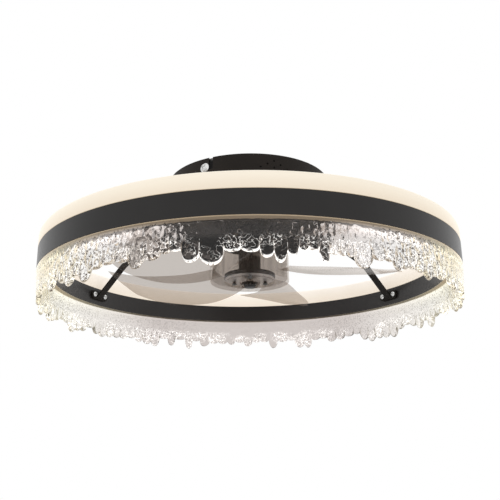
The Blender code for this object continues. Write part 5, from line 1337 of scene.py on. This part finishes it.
def icicle_mesh():
    """The skirt: a smooth collar that breaks into hanging, rounded icicles, and a rim above it
    that sits in the channel.

    Down a column, v runs from 0 to 1 and the column leans from its angle at the collar to its
    angle at the rim, with a slow wave. The wall's half thickness is H sqrt(1 - k |u|^m), where H
    falls evenly with the depth and k grows from 0 at the collar, so that creases deepen between
    the icicles. Lumps then push both sides in and out.
    Each point keeps near_rim, from 0 to 1, for its finish: the larger of a smooth step of |u|
    that starts below the collar and a smooth step of v near the tip.
    """
    top_angle, rim_angle, reach_share, u = icicle_columns()
    v, left_share, side = icicle_rows()
    shoulder = RING_BOTTOM - SEAT_GAP
    height = shoulder - (ICICLE_DROP * reach_share - SEAT_GAP) * v
    depth = (shoulder - height) / ICICLE_DROP
    place = blend(top_angle, rim_angle, smooth(*ICICLE_LEAN_STEP, v))
    wave = lumps(place, depth, *WAVE_LUMPS) * ICICLE_WAVE
    place = place + wave * smooth(*ICICLE_WAVE_STEP, depth)
    crease = ICICLE_CREASE_SHARE * smooth(*ICICLE_CREASE_STEP, depth)
    section = np.sqrt(1 - crease * np.abs(u) ** ICICLE_FLATNESS)
    lean_in = (ICICLE_THICKNESS - ICICLE_TIP_THICKNESS) * ICICLE_TIP_LEAN_SHARE
    middle = blend(RING_RADIUS - ICICLE_THICKNESS / 2,
                   RING_RADIUS - lean_in - ICICLE_TIP_THICKNESS / 2,
                   smooth(*ICICLE_LEAN_IN_STEP, depth))
    taper_start, taper_end = ICICLE_LEAN_IN_STEP
    taper = np.clip((depth - taper_start) / (taper_end - taper_start), 0, 1)
    half_wall = blend(ICICLE_THICKNESS, ICICLE_TIP_THICKNESS * ICICLE_TIP_FULLNESS, taper) / 2
    wall = half_wall * section * left_share
    relief = icicle_relief(place, depth, u, side, left_share)
    relief = np.minimum(relief, ICICLE_RELIEF_SHARE * wall)
    radius = middle + side * (wall + relief * (wall > SOFT_EDGE))

    high, soft = RING_BOTTOM + ICICLE_RIM_RISE, SOFT_EDGE
    rim_outer, rim_inner = RING_RADIUS - RING_WALL - ICICLE_RIM_PLAY, RING_RADIUS - ICICLE_THICKNESS
    rim = np.array([
        (rim_inner, high - soft), (rim_inner + soft, high), (rim_outer - soft, high),
        (rim_outer, high - soft), (rim_outer, shoulder + soft / 2),
        (rim_outer + soft / 4, shoulder), (RING_RADIUS - soft, shoulder),
        (RING_RADIUS - soft * 0.3, shoulder - soft * 0.3),
    ])
    radius[:, 0], radius[:, -1] = RING_RADIUS, rim_inner
    height[:, [0, -1]] = shoulder - soft
    rim_points = polar(rim[None, :, 0], top_angle, rim[None, :, 1])
    grid = np.concatenate([rim_points, polar(radius, place, height)], axis=1)
    mesh = closed_mesh("icicle_ring", grid, crease=60)
    at_side = smooth(*NEAR_RIM_SIDE_STEP, np.abs(u)) * smooth(*NEAR_RIM_DEPTH_STEP, depth)
    near_rim = np.maximum(at_side, smooth(*NEAR_RIM_TIP_STEP, v))
    near_rim = np.concatenate([np.zeros((len(near_rim), len(rim))), near_rim], axis=1)
    mesh.attributes.new("near_rim", "FLOAT", "POINT").data.foreach_set("value", near_rim.ravel())
    return mesh


def make_icicles():
    """The skirt, which rides with the ring."""
    put("fine_icicle_ring", icicle_mesh(), "fixture", "clear_acrylic", "icicle_ring")


def tube_mesh(name, route, radius, sides=20):
    """A round tube along a smooth curve through the route's points, with flat ends.

    At each place a circle stands square to the way that the curve runs: r (a cos t + b sin t),
    where a and b are at right angles to the way and to each other.
    """
    route = np.array(route, float)
    run = np.concatenate([[0.0], np.cumsum(np.linalg.norm(np.diff(route, axis=0), axis=1))])
    places = np.linspace(0, run[-1], math.ceil(run[-1] / (radius * 1.1)) + 1)
    line = np.stack([smooth_through(list(zip(run, route[:, k])), places) for k in range(3)], axis=1)
    way = np.gradient(line, axis=0)
    way /= np.linalg.norm(way, axis=1)[:, None]
    aside = np.cross(route[-1] - route[0], (0, 0, 1.0))
    first = np.cross(way, np.cross(aside / np.linalg.norm(aside), way))
    first /= np.linalg.norm(first, axis=1)[:, None]
    second = np.cross(way, first)
    turns = np.linspace(0, 2 * np.pi, sides, endpoint=False)[:, None, None]
    grid = line[None] + radius * (np.cos(turns) * first[None] + np.sin(turns) * second[None])
    return closed_mesh(name, grid, [line[0], line[-1]])


def make_light_lead():
    """The light's lead from the receiver, out along the last arm and into the ring."""
    high, angle = FLOOR_BOTTOM - SEAT_GAP - ARM_THICKNESS / 2, arm_angles()[-1]
    foot = (TAB_FACE - ARM_THICKNESS / 2, TAB_MIDDLE - ARM_FOOT_DROP)
    knee = (ARM_KNEE_RADIUS, high - ARM_KNEE_DROP)
    side, entry, out = LIGHT_LEAD_SIDE, light_lead_entry_side(), max(ARM_SCREW_RADII)
    box_edge = CASE_OFFSET + RECEIVER_WIDTH / 2 + SEAT_GAP
    start = beside(box_edge, side, angle, FLOOR_TOP + RECEIVER_HEIGHT / 2)
    start[1] = -box_edge - SEAT_GAP
    bend = ARM_FLAT_END + side
    bend_height = high - ARM_KNEE_DROP / (ARM_KNEE_RADIUS - ARM_FLAT_END) * side
    fall = (knee[1] + foot[1]) / 2
    # Each row is the radius, the way aside from the arm's middle line and the height
    rows = (
        (out - side, side, start[2]), (out, side, FLOOR_TOP),
        (out, side, FLOOR_BOTTOM - ARM_THICKNESS), (bend, side, bend_height),
        ((bend + knee[0]) / 2, side, (bend_height + knee[1]) / 2), (knee[0], side, knee[1]),
        ((knee[0] + foot[0]) / 2, (side + entry) / 2, fall),
        (foot[0] - side, entry, (fall + foot[1]) / 2), (RING_INNER - RING_WALL, entry, TAB_MIDDLE),
        (RING_INNER + RING_WALL * 3, entry, TAB_MIDDLE),
    )
    route = [start] + [beside(radius, aside, angle, height) for radius, aside, height in rows]
    mesh = tube_mesh("light_lead", route, LIGHT_LEAD_RADIUS)
    put("fine_light_lead", mesh, "fixture", "lead_sleeve", "light_lead")


def dress_solids():
    """Each solid that stays in view takes the finish of its own slot."""
    for row in frame["record"]["subparts"]:
        worn = NODES[row["node"]].data.materials
        for index in range(len(worn)):
            worn[index] = FINISHES[row["material_slot"]]
        if not worn:
            worn.append(FINISHES[row["material_slot"]])


# Light, floor and camera


def make_world():
    """White where the camera, a mirror or glass looks; a soft grey light everywhere else."""
    world = bpy.data.worlds.new("studio")
    bpy.context.scene.world = world
    world.use_nodes = True
    tree = world.node_tree
    path = tree.nodes.new("ShaderNodeLightPath")
    first, second = tree.nodes.new("ShaderNodeMath"), tree.nodes.new("ShaderNodeMath")
    first.operation = second.operation = "MAXIMUM"
    shade_mix = tree.nodes.new("ShaderNodeMix")
    shade_mix.data_type = "RGBA"
    shade_mix.inputs[6].default_value = WORLD_GREY
    shade_mix.inputs[7].default_value = WORLD_WHITE
    for output, socket in (
        (path.outputs["Is Camera Ray"], first.inputs[0]),
        (path.outputs["Is Glossy Ray"], first.inputs[1]),
        (first.outputs[0], second.inputs[0]),
        (path.outputs["Is Transmission Ray"], second.inputs[1]),
        (second.outputs[0], shade_mix.inputs[0]),
        (shade_mix.outputs[2], tree.nodes["Background"].inputs["Color"]),
    ):
        tree.links.new(output, socket)


def make_floor():
    """A wide pale floor, well below the fan."""
    points = polar(FLOOR_RADIUS, np.array(around_from(0, FLOOR_SIDES)), FLOOR_HEIGHT)
    mesh = bpy.data.meshes.new("floor")
    mesh.from_pydata(points.tolist(), [], [list(range(FLOOR_SIDES))])
    finish = Finish("floor_paint", Roughness=0.8)
    cloud = finish.noise(3, 3.0)
    finish.wear(Base_Color=finish.mix(cloud, colour(0.86, 0.86, 0.855), colour(0.9, 0.9, 0.895)))
    mesh.materials.append(finish.material)
    floor = bpy.data.objects.new("floor", mesh)
    bpy.context.scene.collection.objects.link(floor)


def make_lamp(name, place, size, power):
    """A round soft lamp aimed at the fan, which glass and polish don't show."""
    lamp = bpy.data.lights.new(name, "AREA")
    lamp.shape, lamp.size, lamp.energy = "DISK", size, power
    thing = bpy.data.objects.new(name, lamp)
    thing.visible_transmission = thing.visible_glossy = False
    bpy.context.scene.collection.objects.link(thing)
    turn = (Vector(LAMP_AIM) - Vector(place)).to_track_quat("-Z", "Y").to_matrix().to_4x4()
    thing.matrix_world = Matrix.Translation(place) @ turn


def make_camera():
    """The photograph's view: from the front and below, looking slightly up.

    The way forward is (sin y cos p, cos y cos p, sin p), with the pitch p and the yaw y. The
    level way and the way above it are then turned by the roll.
    """
    pitch, yaw, roll = CAMERA_TURNS
    forward = Vector((math.sin(yaw) * math.cos(pitch), math.cos(yaw) * math.cos(pitch),
                      math.sin(pitch)))
    level = Vector((math.cos(yaw), -math.sin(yaw), 0))
    above = level.cross(forward)
    right = level * math.cos(roll) + above * math.sin(roll)
    up = above * math.cos(roll) - level * math.sin(roll)
    data = bpy.data.cameras.new("camera")
    data.lens, data.sensor_width = CAMERA_LENS, CAMERA_SENSOR
    camera = bpy.data.objects.new("camera", data)
    bpy.context.scene.collection.objects.link(camera)
    turn = Matrix((right, up, -forward)).transposed().to_4x4()
    camera.matrix_world = Matrix.Translation(CAMERA_PLACE) @ turn
    bpy.context.scene.camera = camera


# The camera's turns are its pitch, yaw and roll in radians; its lens is in millimetres
CAMERA_PLACE, CAMERA_TURNS = (0, -0.8269, -0.3356), (0.2948, math.radians(0.05), -0.0135)
CAMERA_LENS, CAMERA_SENSOR = 50.28, 36.0
WORLD_GREY, WORLD_WHITE = (0.62, 0.62, 0.63, 1), (1, 1, 1, 1)
FLOOR_RADIUS, FLOOR_HEIGHT, FLOOR_SIDES = 4.0, -1.3, 96
LAMP_AIM = (0, 0, -0.1)
# Each row is a lamp's name, place, size across and power
LAMPS = (
    ("key", (-1.5, -1.6, 0.3), 2.0, 14),
    ("fill", (1.5, -1.2, -0.7), 2.0, 12),
    ("back", (0.3, 1.6, 0.9), 1.6, 10),
)

make_canopy()
make_shade_liner()
make_motor()
make_hub_drive()
make_nut()
make_impeller()
make_arms()
make_channel()
make_diffuser()
make_icicles()
make_light_lead()
place_screws()
dress_solids()
make_world()
make_floor()
for lamp_row in LAMPS:
    make_lamp(*lamp_row)
make_camera()
bpy.context.scene.view_settings.view_transform = "Standard"
